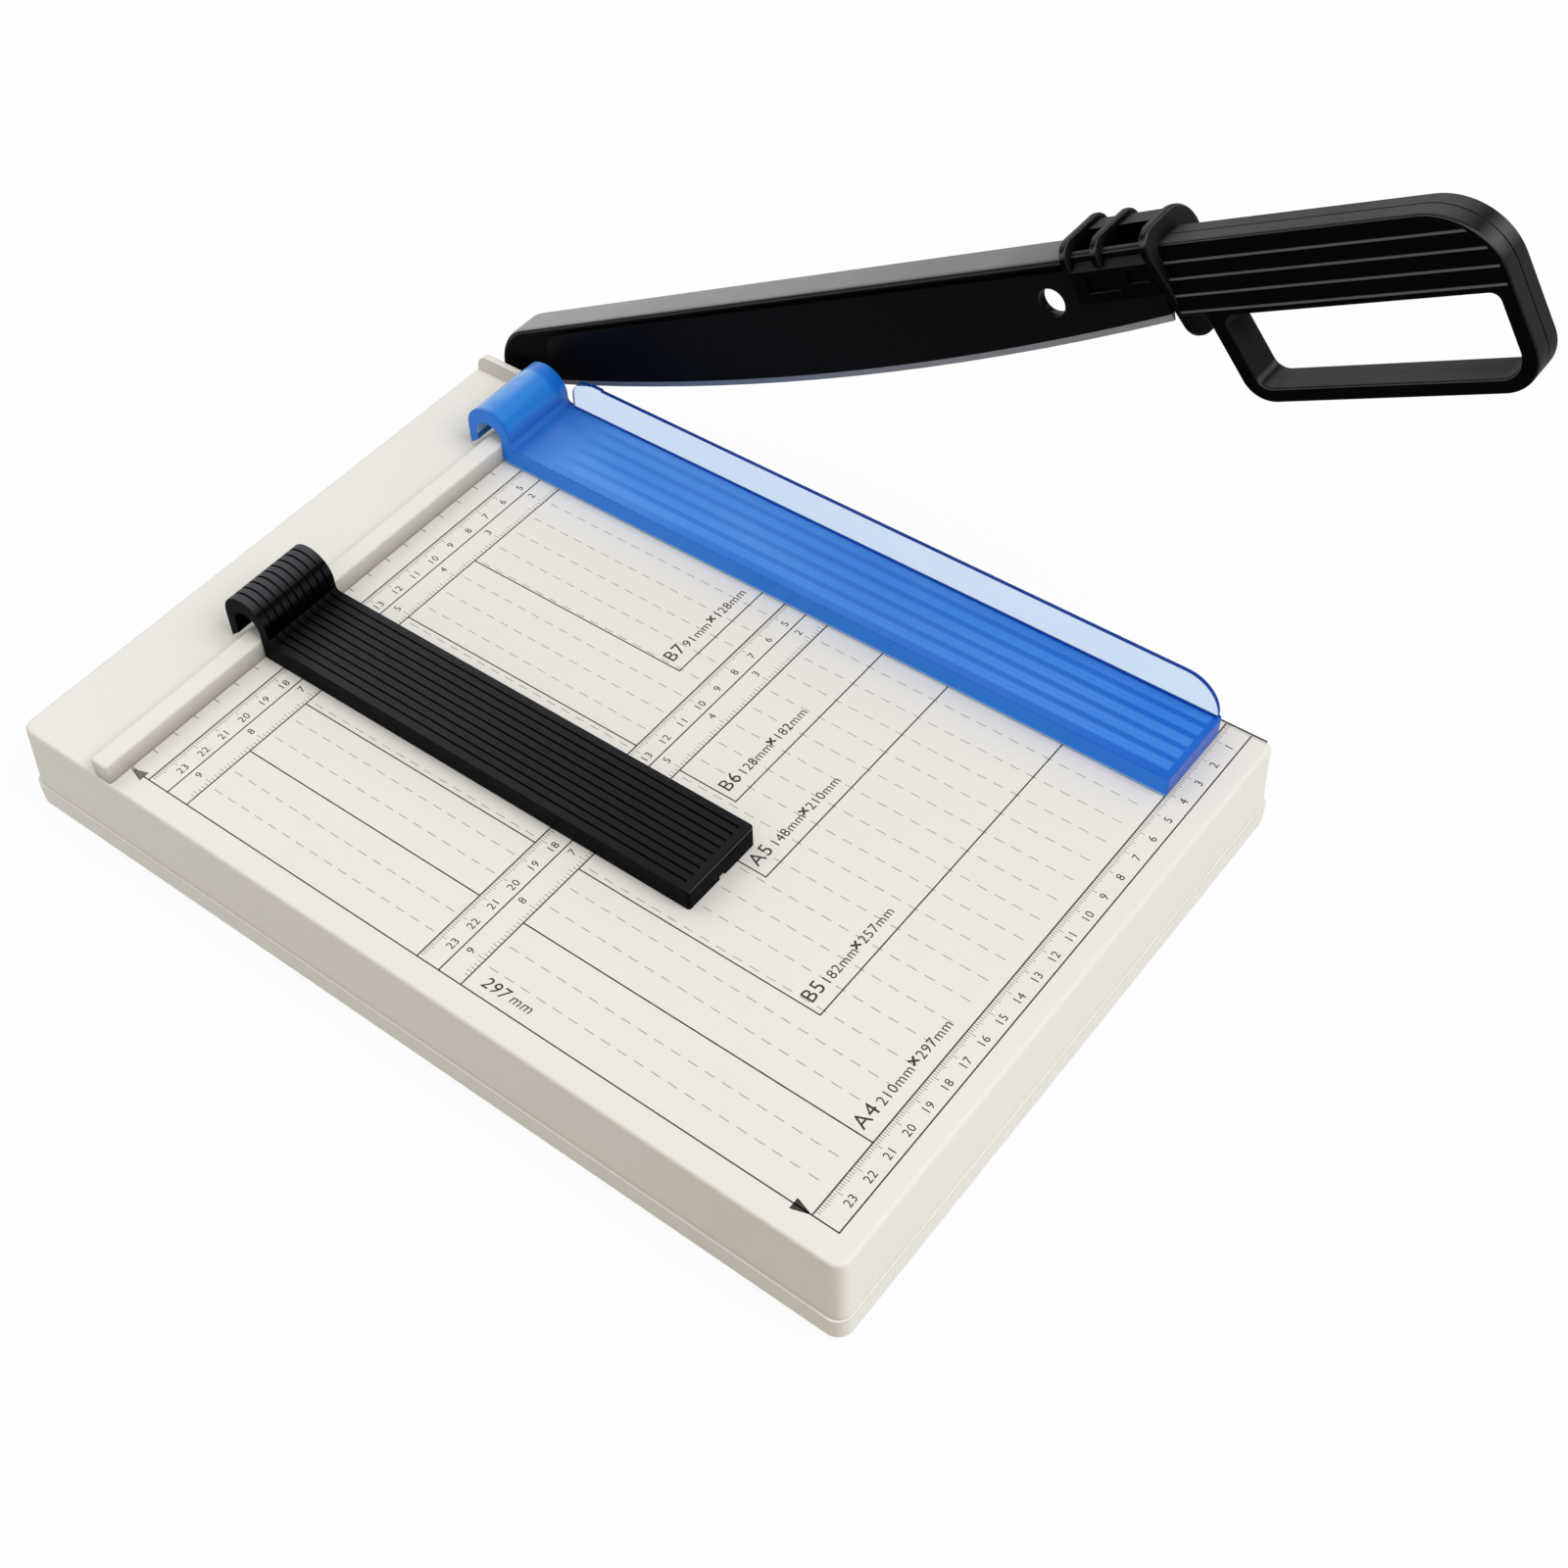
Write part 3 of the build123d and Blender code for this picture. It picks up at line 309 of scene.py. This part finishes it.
def black_finish(name, face, top, edge, up, grain, roughness, specular):
    """Black finish with painted highlights, in the colours top and edge, on open faces that look along up
    and along its edges, and painted shade in recesses.
    """
    n = Nodes(name)
    toward = n.facing(up, 0.35 * MM)
    # Painted highlight on faces that look along up, varied by noise and held back by painted shade in
    # recesses.
    clouded = n.ramp(n.noise(45), 0.3, 0.7, 0.85, 1.0)
    open_part = n.math("MULTIPLY", clouded, n.ramp(n.open_share(8 * MM), 0.35, 0.8))
    n.lit = n.math("MULTIPLY", n.ramp(toward, 0.65, 0.98, smooth=True), open_part)
    # Painted edge highlight where the rounded edges turn from up.
    gleam = n.math("MULTIPLY", n.ramp(toward, 0.25, 0.45), n.ramp(toward, 0.5, 0.68, 1.0, 0.0))
    n.colour = n.blend(n.math("MULTIPLY", gleam, open_part), n.blend(n.lit, face, top), edge)
    n.set(Base_Color=n.colour, Specular_IOR_Level=specular)
    n.set(Roughness=n.ramp(n.noise(260), 0.3, 0.7, roughness - 0.05, roughness + 0.05))
    n.bump(n.noise(grain), 0.16, 0.06 * MM, 0.35 * MM)
    return n


def black_guide():
    """Moulded black of the sliding guide, with painted highlights on its top, towards its rear and on its
    hook's crown, and painted shade in the hollow before its hook.
    """
    # top and edge are the colours of the guide's painted highlights.
    top, edge = (0.016, 0.0155, 0.0175), (0.10, 0.098, 0.105)
    n = black_finish("black_guide", near_black, top, edge, (0, 0, 1), 1600, 0.42, 0.02)
    y = n.axes()[1]
    # Painted highlight: the lit top grows paler towards the rear.
    rear = n.ramp(y, rail_face_y - 180 * MM, rail_face_y - 40 * MM)
    paler = n.blend(n.math("MULTIPLY", n.lit, rear), n.colour, (0.034, 0.033, 0.037))
    # Painted highlight on the hook's crown, held back by painted shade in its folds.
    crown = n.ramp(n.facing((-0.2, 0.5, 0.84), 0.35 * MM), 0.3, 0.95, 0.0, 1.0, smooth=True)
    on_hook = n.math("GREATER_THAN", y, rail_face_y - 3 * MM)
    open_part = n.math("MULTIPLY", on_hook, n.ramp(n.open_share(3 * MM), 0.5, 0.9))
    hooked = n.blend(n.math("MULTIPLY", crown, open_part), paler, (0.07, 0.068, 0.075))
    # Painted shade: near-black put in the hollow before the hook.
    near = n.ramp(y, rail_face_y - 26 * MM, rail_face_y - 8 * MM, 0.0, 0.85)
    hollow = n.math("MULTIPLY", near, n.math("LESS_THAN", y, rail_face_y - 1 * MM))
    n.set(Base_Color=n.blend(hollow, hooked, near_black))
    return n.material


def black_handle():
    """Moulded black of the handle, with painted highlights on its ribs and on faces that look to the
    operator, held back by painted shade in recesses.
    """
    # top and edge are the colours of the handle's painted highlights.
    top, edge = (0.072, 0.072, 0.075), (0.085, 0.085, 0.09)
    n = black_finish("black_handle", near_black, top, edge, arm_up, 1400, 0.40, 0.015)
    # Painted highlight on the tops of the grip's ribs.
    x = n.axes()[0]
    behind = n.math("GREATER_THAN", along_arm(n), arm_length)
    inner = n.math("LESS_THAN", x, edge_x + grip_sides[0] - rib_rise)
    outer = n.math("GREATER_THAN", x, edge_x + grip_sides[1] + rib_rise)
    rib = n.math("MULTIPLY", behind, n.math("MAXIMUM", inner, outer))
    # Painted light on faces that look to the operator, held back by painted shade in recesses.
    away = n.ramp(n.facing((0, -cos(open_angle), sin(open_angle)), 0.3 * MM), 0.4, 1.0, 0.0, 0.24)
    end = n.math("MULTIPLY", away, n.ramp(n.open_share(20 * MM), 0.45, 0.95))
    plain = n.blend(end, n.colour, (0.08, 0.078, 0.085))
    n.set(Base_Color=n.blend(rib, plain, (0.10, 0.10, 0.104)))
    return n.material


def black_steel():
    """Satin black paint of the arm, with a painted highlight on its back that is brightest at the pivot end.
    """
    # top and edge are the colours of the arm's painted highlights.
    top, edge = (0.20, 0.20, 0.205), (0.045, 0.045, 0.048)
    n = black_finish("black_steel", near_black, top, edge, arm_up, 500, 0.36, 0.015)
    # Painted highlight: the lit back is brightened most at the pivot end.
    pivot_end_highlight = n.math("MULTIPLY", n.lit, n.ramp(along_arm(n), 0.0, arm_length, 0.9, 0.0))
    n.set(Base_Color=n.blend(pivot_end_highlight, n.colour, (0.42, 0.415, 0.43)))
    return n.material


def coated_blade():
    """Black coat with a bright ground band that follows the curved edge."""
    n = Nodes("coated_blade")
    reach = reach_from(n, *arm_point(blade_low_along, blade_low_square + blade_curve_radius))
    start = blade_curve_radius - ground_band
    ground = n.ramp(reach, start - 0.1 * MM, start + 0.1 * MM)
    scratch = n.noise(600, stretch=(1, 0.25, 1))
    steel = n.blend(scratch, (0.20, 0.20, 0.21), (0.32, 0.32, 0.33))
    coat = n.blend(n.noise(40), (0.0015, 0.0015, 0.002), (0.003, 0.003, 0.004))
    n.set(Base_Color=n.blend(ground, coat, steel), Metallic=n.math("MULTIPLY", ground, 0.6))
    n.set(Roughness=n.ramp(scratch, 0.3, 0.7, 0.34, 0.44), Specular_IOR_Level=0.03)
    n.bump(scratch, 0.05, 0.05 * MM, 0.15 * MM)
    return n.material


def zinc_steel():
    """Zinc plated steel with a fine uneven grain."""
    n = Nodes("zinc_steel")
    marks = n.noise(2500, 4.0)
    n.set(Base_Color=n.blend(marks, (0.48, 0.48, 0.47), (0.62, 0.62, 0.60)), Metallic=1.0)
    n.set(Roughness=n.ramp(marks, 0.3, 0.7, 0.26, 0.40))
    n.bump(marks, 0.12, 0.03 * MM, 0.15 * MM)
    return n.material


def fixed_strip():
    """Bright ground steel with a dark line along its cutting edge."""
    n = Nodes("fixed_strip")
    marks = n.noise(2500, 4.0, (1, 0.02, 1))
    bright = n.blend(marks, (0.60, 0.58, 0.54), (0.72, 0.70, 0.66))
    line = n.ramp(n.axes()[0], edge_x - 0.8 * MM, edge_x - 0.7 * MM)
    n.set(Base_Color=n.blend(line, bright, (0.03, 0.028, 0.026)), Metallic=n.ramp(line, 0.0, 1.0, 0.35, 0.9))
    n.set(Roughness=n.ramp(marks, 0.3, 0.7, 0.3, 0.42))
    n.bump(marks, 0.12, 0.03 * MM)
    return n.material


def bay_share(n, low, high):
    """One over the hollow bays of the press plate and nought over its ribs and rims."""
    x, y, _ = n.axes()
    pitch = bay_width + bay_rib
    inward = n.math("DIVIDE", n.math("SUBTRACT", high.x - bay_margin, x), pitch)
    share = n.math("FRACT", inward)
    wide = bay_width / pitch
    near_side = n.ramp(share, 0.0, bay_edge_share)
    across = n.math("MULTIPLY", near_side, n.ramp(share, wide - bay_edge_share, wide, 1.0, 0.0))
    count = n.math("MULTIPLY", n.math("GREATER_THAN", inward, 0.0), n.math("LESS_THAN", inward, bay_count))
    front = low.y + bay_front_margin
    rear = rail_face_y - bay_rear_start
    front_end = n.ramp(y, front, front + 0.6 * MM)
    rear_end = n.ramp(y, rear - bay_rear_fade, rear, 1.0, 0.0, smooth=True)
    return n.math("MULTIPLY", n.math("MULTIPLY", across, count), n.math("MULTIPLY", front_end, rear_end))


def plate_colour(n, low, high):
    """Blue of the press plate, paler over its bays, with soft painted reflections, painted light towards the
    rail and painted shade before its hook.
    """
    y = n.axes()[1]
    # Cloudy tone of the acrylic with soft painted reflections in its paler range.
    cloud = n.ramp(n.noise(25, stretch=(1, 0.3, 1)), 0.3, 0.7)
    rib = n.blend(cloud, (0.003, 0.115, 0.58), (0.012, 0.155, 0.67))
    pale = n.blend(cloud, (0.018, 0.20, 0.73), (0.085, 0.29, 0.83))
    plate = n.blend(bay_share(n, low, high), rib, pale)
    # Painted light towards the rail.
    with_painted_light = n.blend(n.ramp(y, low.y, rail_face_y, 0.0, 0.5), plate, (0.13, 0.385, 0.90))
    # Painted shade before the hook.
    before_hook = n.ramp(y, rail_face_y - 24 * MM, rail_face_y - 8 * MM, 0.0, 0.6)
    at_hook = n.ramp(y, rail_face_y - 6 * MM, rail_face_y + 2 * MM, 1.0, 0.0)
    return n.blend(n.math("MULTIPLY", before_hook, at_hook), with_painted_light, (0.0, 0.09, 0.48))


def hook_colour(n, plate, low, high):
    """The plate's blue carried on over its hook, with a painted highlight and glints on its crown, deep rims
    and painted light inside its tunnel.
    """
    x, y, _ = n.axes()
    on_hook = n.math("GREATER_THAN", y, rail_face_y - hook_start)
    hook = n.blend(n.math("MULTIPLY", on_hook, 0.7), plate, (0.008, 0.21, 0.70))
    # Painted highlight along the crown, broken into glints by noise.
    crown = n.ramp(n.facing((-0.2, 0.62, 0.76), 0.3 * MM), 0.5, 1.0, 0.0, 0.8, smooth=True)
    glint_patches = n.math("MULTIPLY", on_hook, n.ramp(n.noise(75), 0.35, 0.65, 0.35, 1.0))
    crown_highlighted = n.blend(n.math("MULTIPLY", crown, glint_patches), hook, (0.36, 0.62, 0.97))
    near_rim = n.ramp(x, low.x + 0.8 * MM, low.x + 1.8 * MM, 1.0, 0.0)
    far_rim = n.ramp(x, high.x - 7 * MM, high.x - 5 * MM)
    rims = n.math("MULTIPLY", n.math("MAXIMUM", near_rim, far_rim), n.math("MULTIPLY", on_hook, 0.6))
    lit = n.blend(rims, crown_highlighted, (0.0, 0.12, 0.60))
    # Painted light inside the hook's tunnel, as if shining through it.
    axis = Vector(joints["guard_lift"]["pos_m"])
    inside = n.math("LESS_THAN", reach_from(n, axis.y, axis.z), hook_tunnel_radius)
    return n.blend(n.math("MULTIPLY", inside, 0.8), lit, (0.55, 0.75, 0.97))


def blue_acrylic():
    """Clear blue moulding with painted light on its near wall, a line along its near corner and a painted
    highlight along the wall's foot.
    """
    n = Nodes("blue_acrylic")
    low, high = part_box("guard_plate")
    _, y, z = n.axes()
    hooked = hook_colour(n, plate_colour(n, low, high), low, high)
    # Painted light: the near wall is a brighter blue, as if lit through.
    wall = n.ramp(n.facing((-1, 0, 0), 0.3 * MM), 0.4, 0.9, 0.0, 0.85)
    near = n.blend(wall, hooked, (0.012, 0.24, 0.92))
    corner = n.ramp(n.facing((-0.71, 0, 0.71), 0.6 * MM), 0.85, 0.98, 0.0, 0.6)
    lined = n.blend(n.math("MULTIPLY", corner, n.math("LESS_THAN", y, rail_face_y)), near, (0.0, 0.09, 0.50))
    # Painted highlight along the foot of the near wall.
    foot = n.math("MULTIPLY", wall, n.ramp(z, low.z + 0.6 * MM, low.z + 1.0 * MM, 0.8, 0.0))
    foot_highlighted = n.blend(foot, lined, (0.45, 0.70, 1.0))
    end = n.ramp(n.facing((0, -1, 0), 0.3 * MM), 0.5, 0.9, 0.0, 0.8)
    front = n.math("MULTIPLY", end, n.math("LESS_THAN", y, low.y + 2 * MM))
    n.set(Base_Color=n.blend(front, foot_highlighted, (0.0, 0.08, 0.52)), Specular_IOR_Level=0.2)
    n.set(Roughness=n.ramp(n.noise(90), 0.3, 0.7, 0.14, 0.22), Alpha=0.93, IOR=1.49)
    n.bump(n.noise(60), 0.04, 0.2 * MM, 0.5 * MM)
    return n.material


def clear_acrylic():
    """Pale blue clear sheet with deep blue cut edges, and a blue foot on its near face."""
    n = Nodes("clear_acrylic")
    x, _, z = n.axes()
    low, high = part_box("guard_fin")
    near_face = n.math("LESS_THAN", x, (low.x + high.x) / 2)
    below = n.ramp(z, table_z + sheet_foot[0], table_z + sheet_foot[1], 1.0, 0.0)
    foot = n.math("MULTIPLY", near_face, below)
    edge = n.ramp(n.math("ABSOLUTE", n.facing((1, 0, 0), 0.1 * MM)), 0.55, 0.9, 1.0, 0.0)
    cut = n.math("MAXIMUM", edge, foot)
    haze = n.blend(n.noise(30), (0.62, 0.745, 0.92), (0.70, 0.805, 0.95))
    deep = n.blend(foot, (0.004, 0.045, 0.30), (0.006, 0.10, 0.55))
    n.set(Base_Color=n.blend(cut, haze, deep), Transmission_Weight=n.ramp(cut, 0.0, 1.0, 1.0, 0.1))
    n.set(Roughness=n.ramp(n.noise(200), 0.3, 0.7, 0.02, 0.05), IOR=1.3, Specular_IOR_Level=0.2)
    return n.material


def rubber():
    """Matt black rubber with a slightly dusty surface."""
    n = Nodes("rubber")
    n.set(Base_Color=n.blend(n.noise(300), (0.012, 0.012, 0.012), (0.035, 0.034, 0.032)))
    n.set(Roughness=n.ramp(n.noise(150), 0.3, 0.7, 0.75, 0.9))
    n.bump(n.noise(1200), 0.3, 0.08 * MM)
    return n.material


def nylon():
    """Natural nylon, cream and slightly waxy."""
    n = Nodes("nylon")
    n.set(Base_Color=n.blend(n.noise(200), (0.76, 0.74, 0.66), (0.82, 0.80, 0.72)))
    n.set(Roughness=n.ramp(n.noise(400), 0.3, 0.7, 0.35, 0.5), Subsurface_Weight=0.1)
    n.bump(n.noise(900), 0.1, 0.05 * MM)
    return n.material


def ink(name, strong, weak):
    """Printing ink, a little uneven."""
    n = Nodes(name)
    n.set(Base_Color=n.blend(n.ramp(n.noise(700), 0.4, 0.7), strong, weak))
    n.set(Roughness=n.ramp(n.noise(300), 0.3, 0.7, 0.45, 0.6), Specular_IOR_Level=0.3)
    return n.material


def add_bar(mesh, start, end, width):
    """Closed bar of ink between two places on the table."""
    first, last = table_point(*start), table_point(*end)
    side = Vector((0, 0, 1)).cross(last - first).normalized() * width * MM / 2
    add_slab(mesh, [first - side, last - side, last + side, first + side])


def add_slab(mesh, outline):
    """Closed slab of ink over a flat outline on the table that runs counter-clockwise."""
    low = [mesh.verts.new(point - Vector((0, 0, ink_sink * MM))) for point in outline]
    high = [mesh.verts.new(point + Vector((0, 0, ink_rise * MM))) for point in outline]
    mesh.faces.new(high)
    mesh.faces.new(low[::-1])
    for i in range(len(outline)):
        j = (i + 1) % len(outline)
        mesh.faces.new((low[i], low[j], high[j], high[i]))


def add_words(mesh, words, place, size, turn=0.0, align="LEFT", bold=0.0, lean=0.0):
    """Add lettering with its baseline at a place on the table; returns its width in millimetres."""
    curve = bpy.data.curves.new("words", "FONT")
    curve.body = words
    curve.size = size * MM
    curve.align_x = align
    curve.extrude = (ink_rise + ink_sink) * MM / 2
    curve.offset = bold * MM
    curve.shear = lean
    curve.space_character = letter_space
    curve.resolution_u = 3
    holder = bpy.data.objects.new("words", curve)
    bpy.context.collection.objects.link(holder)
    graph = bpy.context.evaluated_depsgraph_get()
    shape = bpy.data.meshes.new_from_object(holder.evaluated_get(graph))
    width = holder.dimensions.x / MM
    lift = Vector((0, 0, (ink_rise - ink_sink) * MM / 2))
    shape.transform(Matrix.Translation(table_point(*place) + lift) @ Matrix.Rotation(turn, 4, "Z"))
    mesh.from_mesh(shape)
    bpy.data.objects.remove(holder)
    bpy.data.curves.remove(curve)
    bpy.data.meshes.remove(shape)
    return width


def finish_print(mesh, name, material):
    """Turn printed shapes into a piece that rides on the base."""
    data = bpy.data.meshes.new(name)
    bmesh.ops.recalc_face_normals(mesh, faces=mesh.faces)
    mesh.to_mesh(data)
    mesh.free()
    data.materials.clear()
    data.materials.append(material)
    piece = bpy.data.objects.new(name, data)
    bpy.context.collection.objects.link(piece)
    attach(piece, "base")


def tick_length(i, major, middle):
    """Length of the tick with an index, longer at each major and middle step."""
    if i % major == 0:
        return tick_lengths[2]
    return tick_lengths[1] if i % middle == 0 else tick_lengths[0]


def add_rulers(lines, ticks, words):
    """Centimetre and inch rulers across the table, and the marks at the rail's foot."""
    for level in (*left_ruler, *middle_ruler, *front_ruler):
        add_bar(lines, (level, print_start), (level, print_end), line_width)
    for level in (left_ruler[0], middle_ruler[0], front_ruler[0]):
        for i in range(1, scale_length * 10 + spare_millimetres + 1):
            add_bar(ticks, (level, i), (level + tick_length(i, 10, 5), i), tick_width)
        for i in range(1, scale_length + 1):
            add_words(words, str(i), (level + figure_drop, i * 10.0), figure_size, align="CENTER")
    for level in (left_ruler[2], middle_ruler[2]):
        for i in range(1, inch_count * inch_parts + spare_inch_parts + 1):
            along = i * inch / inch_parts
            add_bar(ticks, (level, along), (level - tick_length(i, inch_parts, 4), along), tick_width)
        for i in range(1, inch_count + 1):
            add_words(words, str(i), (level - inch_figure_drop, i * inch), figure_size, align="CENTER")
    for i in range(1, scale_length + 2):
        add_bar(lines, (rail_ticks[0], i * 10.0), (rail_ticks[1], i * 10.0), dash_width)


def add_sheets(lines, words):
    """Corner lines and names of the sheet sizes."""
    for name, (wide, tall) in sheet_sizes.items():
        for start, end in split_at_rulers(tall):
            add_bar(lines, (start, wide), (end, wide), line_width)
        if tall < front_ruler[0]:
            add_bar(lines, (tall, print_start), (tall, wide + line_width / 2), line_width)
        base = tall - label_lift
        start = wide - label_inset
        start -= add_words(words, name, (base, start), name_size) + name_gap
        notes = ((f"{wide}mm", note_size, 0.0), ("×", cross_size, cross_bold), (f"{tall}mm", note_size, 0.0))
        for note, size, bold in notes:
            start -= add_words(words, note, (base, start), size, bold=bold) + label_gap


def split_at_rulers(end):
    """Stretches from the left ruler to an end that leave out the middle ruler."""
    if end <= middle_ruler[0]:
        return [(left_ruler[2], end)]
    return [(left_ruler[2], middle_ruler[0]), (middle_ruler[2], end)]


def add_arrow(mesh, tip, way):
    """Arrow head on the line along the board side, pointing to the rail or away from it."""
    back = tip + way * arrow_length
    half = way * arrow_width / 2
    corners = [(tip, print_end), (back, print_end - half), (back, print_end + half)]
    add_slab(mesh, [table_point(*corner) for corner in corners])


def add_length_line(lines, ticks, words):
    """Line along the board side with an arrow at each end and its length."""
    add_bar(lines, (arrow_length, print_end), (front_ruler[1] + line_width / 2, print_end), line_width)
    add_arrow(ticks, arrow_start, 1)
    add_arrow(lines, front_ruler[0], -1)
    place = (length_note_start, print_end - length_note_lift)
    style = {"turn": -pi / 2, "lean": length_note_lean}
    width = add_words(words, "297", place, length_note_size, bold=length_note_bold, **style)
    place = (length_note_start + width + label_gap, place[1] - length_unit_drop)
    add_words(words, "mm", place, length_unit_size, **style)


def add_dashes(dashes):
    """Pale dashed lines parallel to the cutting edge."""
    for i in range(1, scale_length + 1):
        for start, end in split_at_rulers(front_ruler[0]):
            along = start + dash_pitch - dash_length
            while along + dash_length < end:
                add_bar(dashes, (along, i * dash_step), (along + dash_length, i * dash_step), dash_width)
                along += dash_pitch


def print_table():
    """All the printing on the table, as four pieces."""
    lines, ticks, words, dashes = (bmesh.new() for _ in range(4))
    add_rulers(lines, ticks, words)
    add_sheets(lines, words)
    add_length_line(lines, ticks, words)
    add_dashes(dashes)
    dark = ink("dark_ink", (0.022, 0.019, 0.017), (0.045, 0.040, 0.036))
    finish_print(lines, "print_lines", dark)
    finish_print(words, "print_figures", dark)
    finish_print(ticks, "print_ticks", ink("tick_ink", (0.13, 0.12, 0.105), (0.22, 0.20, 0.18)))
    finish_print(dashes, "print_dashes", ink("dash_ink", (0.26, 0.24, 0.215), (0.36, 0.34, 0.31)))


def dress(material, *names):
    """Give CAD nodes a finish."""
    for name in names:
        data = frame["nodes"][name].data
        data.materials.clear()
        data.materials.append(material)


def dress_nodes():
    """Finish of every CAD node."""
    dress(ivory_case(), "base_top_shell", "base_tray")
    dress(ivory_rail(), "fence_rail")
    dress(black_guide(), "paper_guide")
    dress(black_handle(), "handle_inner_half", "handle_outer_half")
    dress(black_steel(), "cutter_arm")
    dress(coated_blade(), "moving_blade")
    dress(fixed_strip(), "fixed_blade")
    dress(blue_acrylic(), "guard_plate")
    dress(clear_acrylic(), "guard_fin")
    dress(rubber(), "rubber_feet")
    dress(nylon(), "pivot_spacer")
    dress(zinc_steel(), "case_screws", "rail_screws", "fixed_blade_screws", "blade_screws", "handle_screws",
          "pivot_bolt", "pivot_head_washer", "pivot_inner_washer", "pivot_spring_washer", "pivot_nut")


def background_rays(nodes, links):
    """One for rays that see the plain background: from the camera, off gloss and through clear sheet."""
    path = nodes.new("ShaderNodeLightPath")
    total = path.outputs["Is Camera Ray"]
    for name in ("Is Glossy Ray", "Is Transmission Ray"):
        add = nodes.new("ShaderNodeMath")
        add.operation = "MAXIMUM"
        links.new(total, add.inputs[0])
        links.new(path.outputs[name], add.inputs[1])
        total = add.outputs[0]
    return total


def make_floor():
    """Pale floor that shows white to the camera and keeps a faint shadow."""
    far = floor_reach
    data = bpy.data.meshes.new("floor")
    corners = [(-far, -far, 0), (far, -far, 0), (far, far, 0), (-far, far, 0)]
    data.from_pydata(corners, [], [(0, 1, 2, 3)])
    floor = bpy.data.objects.new("floor", data)
    bpy.context.collection.objects.link(floor)
    material = bpy.data.materials.new("floor")
    material.use_nodes = True
    nodes, links = material.node_tree.nodes, material.node_tree.links
    shader = nodes["Principled BSDF"]
    shader.inputs["Base Color"].default_value = (0.86, 0.86, 0.86, 1)
    shader.inputs["Roughness"].default_value = 0.9
    white = nodes.new("ShaderNodeEmission")
    share = nodes.new("ShaderNodeMath")
    share.operation = "MULTIPLY"
    share.inputs[1].default_value = floor_white
    links.new(background_rays(nodes, links), share.inputs[0])
    mix = nodes.new("ShaderNodeMixShader")
    links.new(share.outputs[0], mix.inputs[0])
    links.new(shader.outputs[0], mix.inputs[1])
    links.new(white.outputs[0], mix.inputs[2])
    links.new(mix.outputs[0], nodes["Material Output"].inputs["Surface"])
    data.materials.append(material)


def make_world(level):
    """White surroundings that light the object at a lower level than they show."""
    world = bpy.data.worlds.new("world")
    world.use_nodes = True
    nodes, links = world.node_tree.nodes, world.node_tree.links
    strength = nodes.new("ShaderNodeMapRange")
    strength.inputs["To Min"].default_value = level
    strength.inputs["To Max"].default_value = 1.0
    links.new(background_rays(nodes, links), strength.inputs["Value"])
    background = nodes["Background"]
    background.inputs["Color"].default_value = (1, 1, 1, 1)
    links.new(strength.outputs[0], background.inputs["Strength"])
    bpy.context.scene.world = world


def add_softbox(name, place, target, size, power):
    """Square area light that looks at a target."""
    data = bpy.data.lights.new(name, "AREA")
    data.size = size
    data.energy = power
    lamp = bpy.data.objects.new(name, data)
    lamp.location = place
    lamp.rotation_euler = (Vector(target) - Vector(place)).to_track_quat("-Z", "Y").to_euler()
    bpy.context.collection.objects.link(lamp)


def make_camera():
    """Camera at the photograph's place."""
    data = bpy.data.cameras.new("camera")
    data.sensor_width = sensor_width
    data.lens = camera_lens
    data.shift_x, data.shift_y = camera_shift
    data.clip_start = clip_start
    camera = bpy.data.objects.new("camera", data)
    camera.location = camera_place
    camera.rotation_euler = Euler([radians(angle) for angle in camera_turn], "XYZ")
    bpy.context.collection.objects.link(camera)
    bpy.context.scene.camera = camera


dress_nodes()
print_table()
make_floor()
make_world(world_level)
add_softbox("key", key_place, key_target, key_size, key_power)
add_softbox("fill", fill_place, fill_target, fill_size, fill_power)
make_camera()
bpy.context.scene.view_settings.view_transform = "Standard"
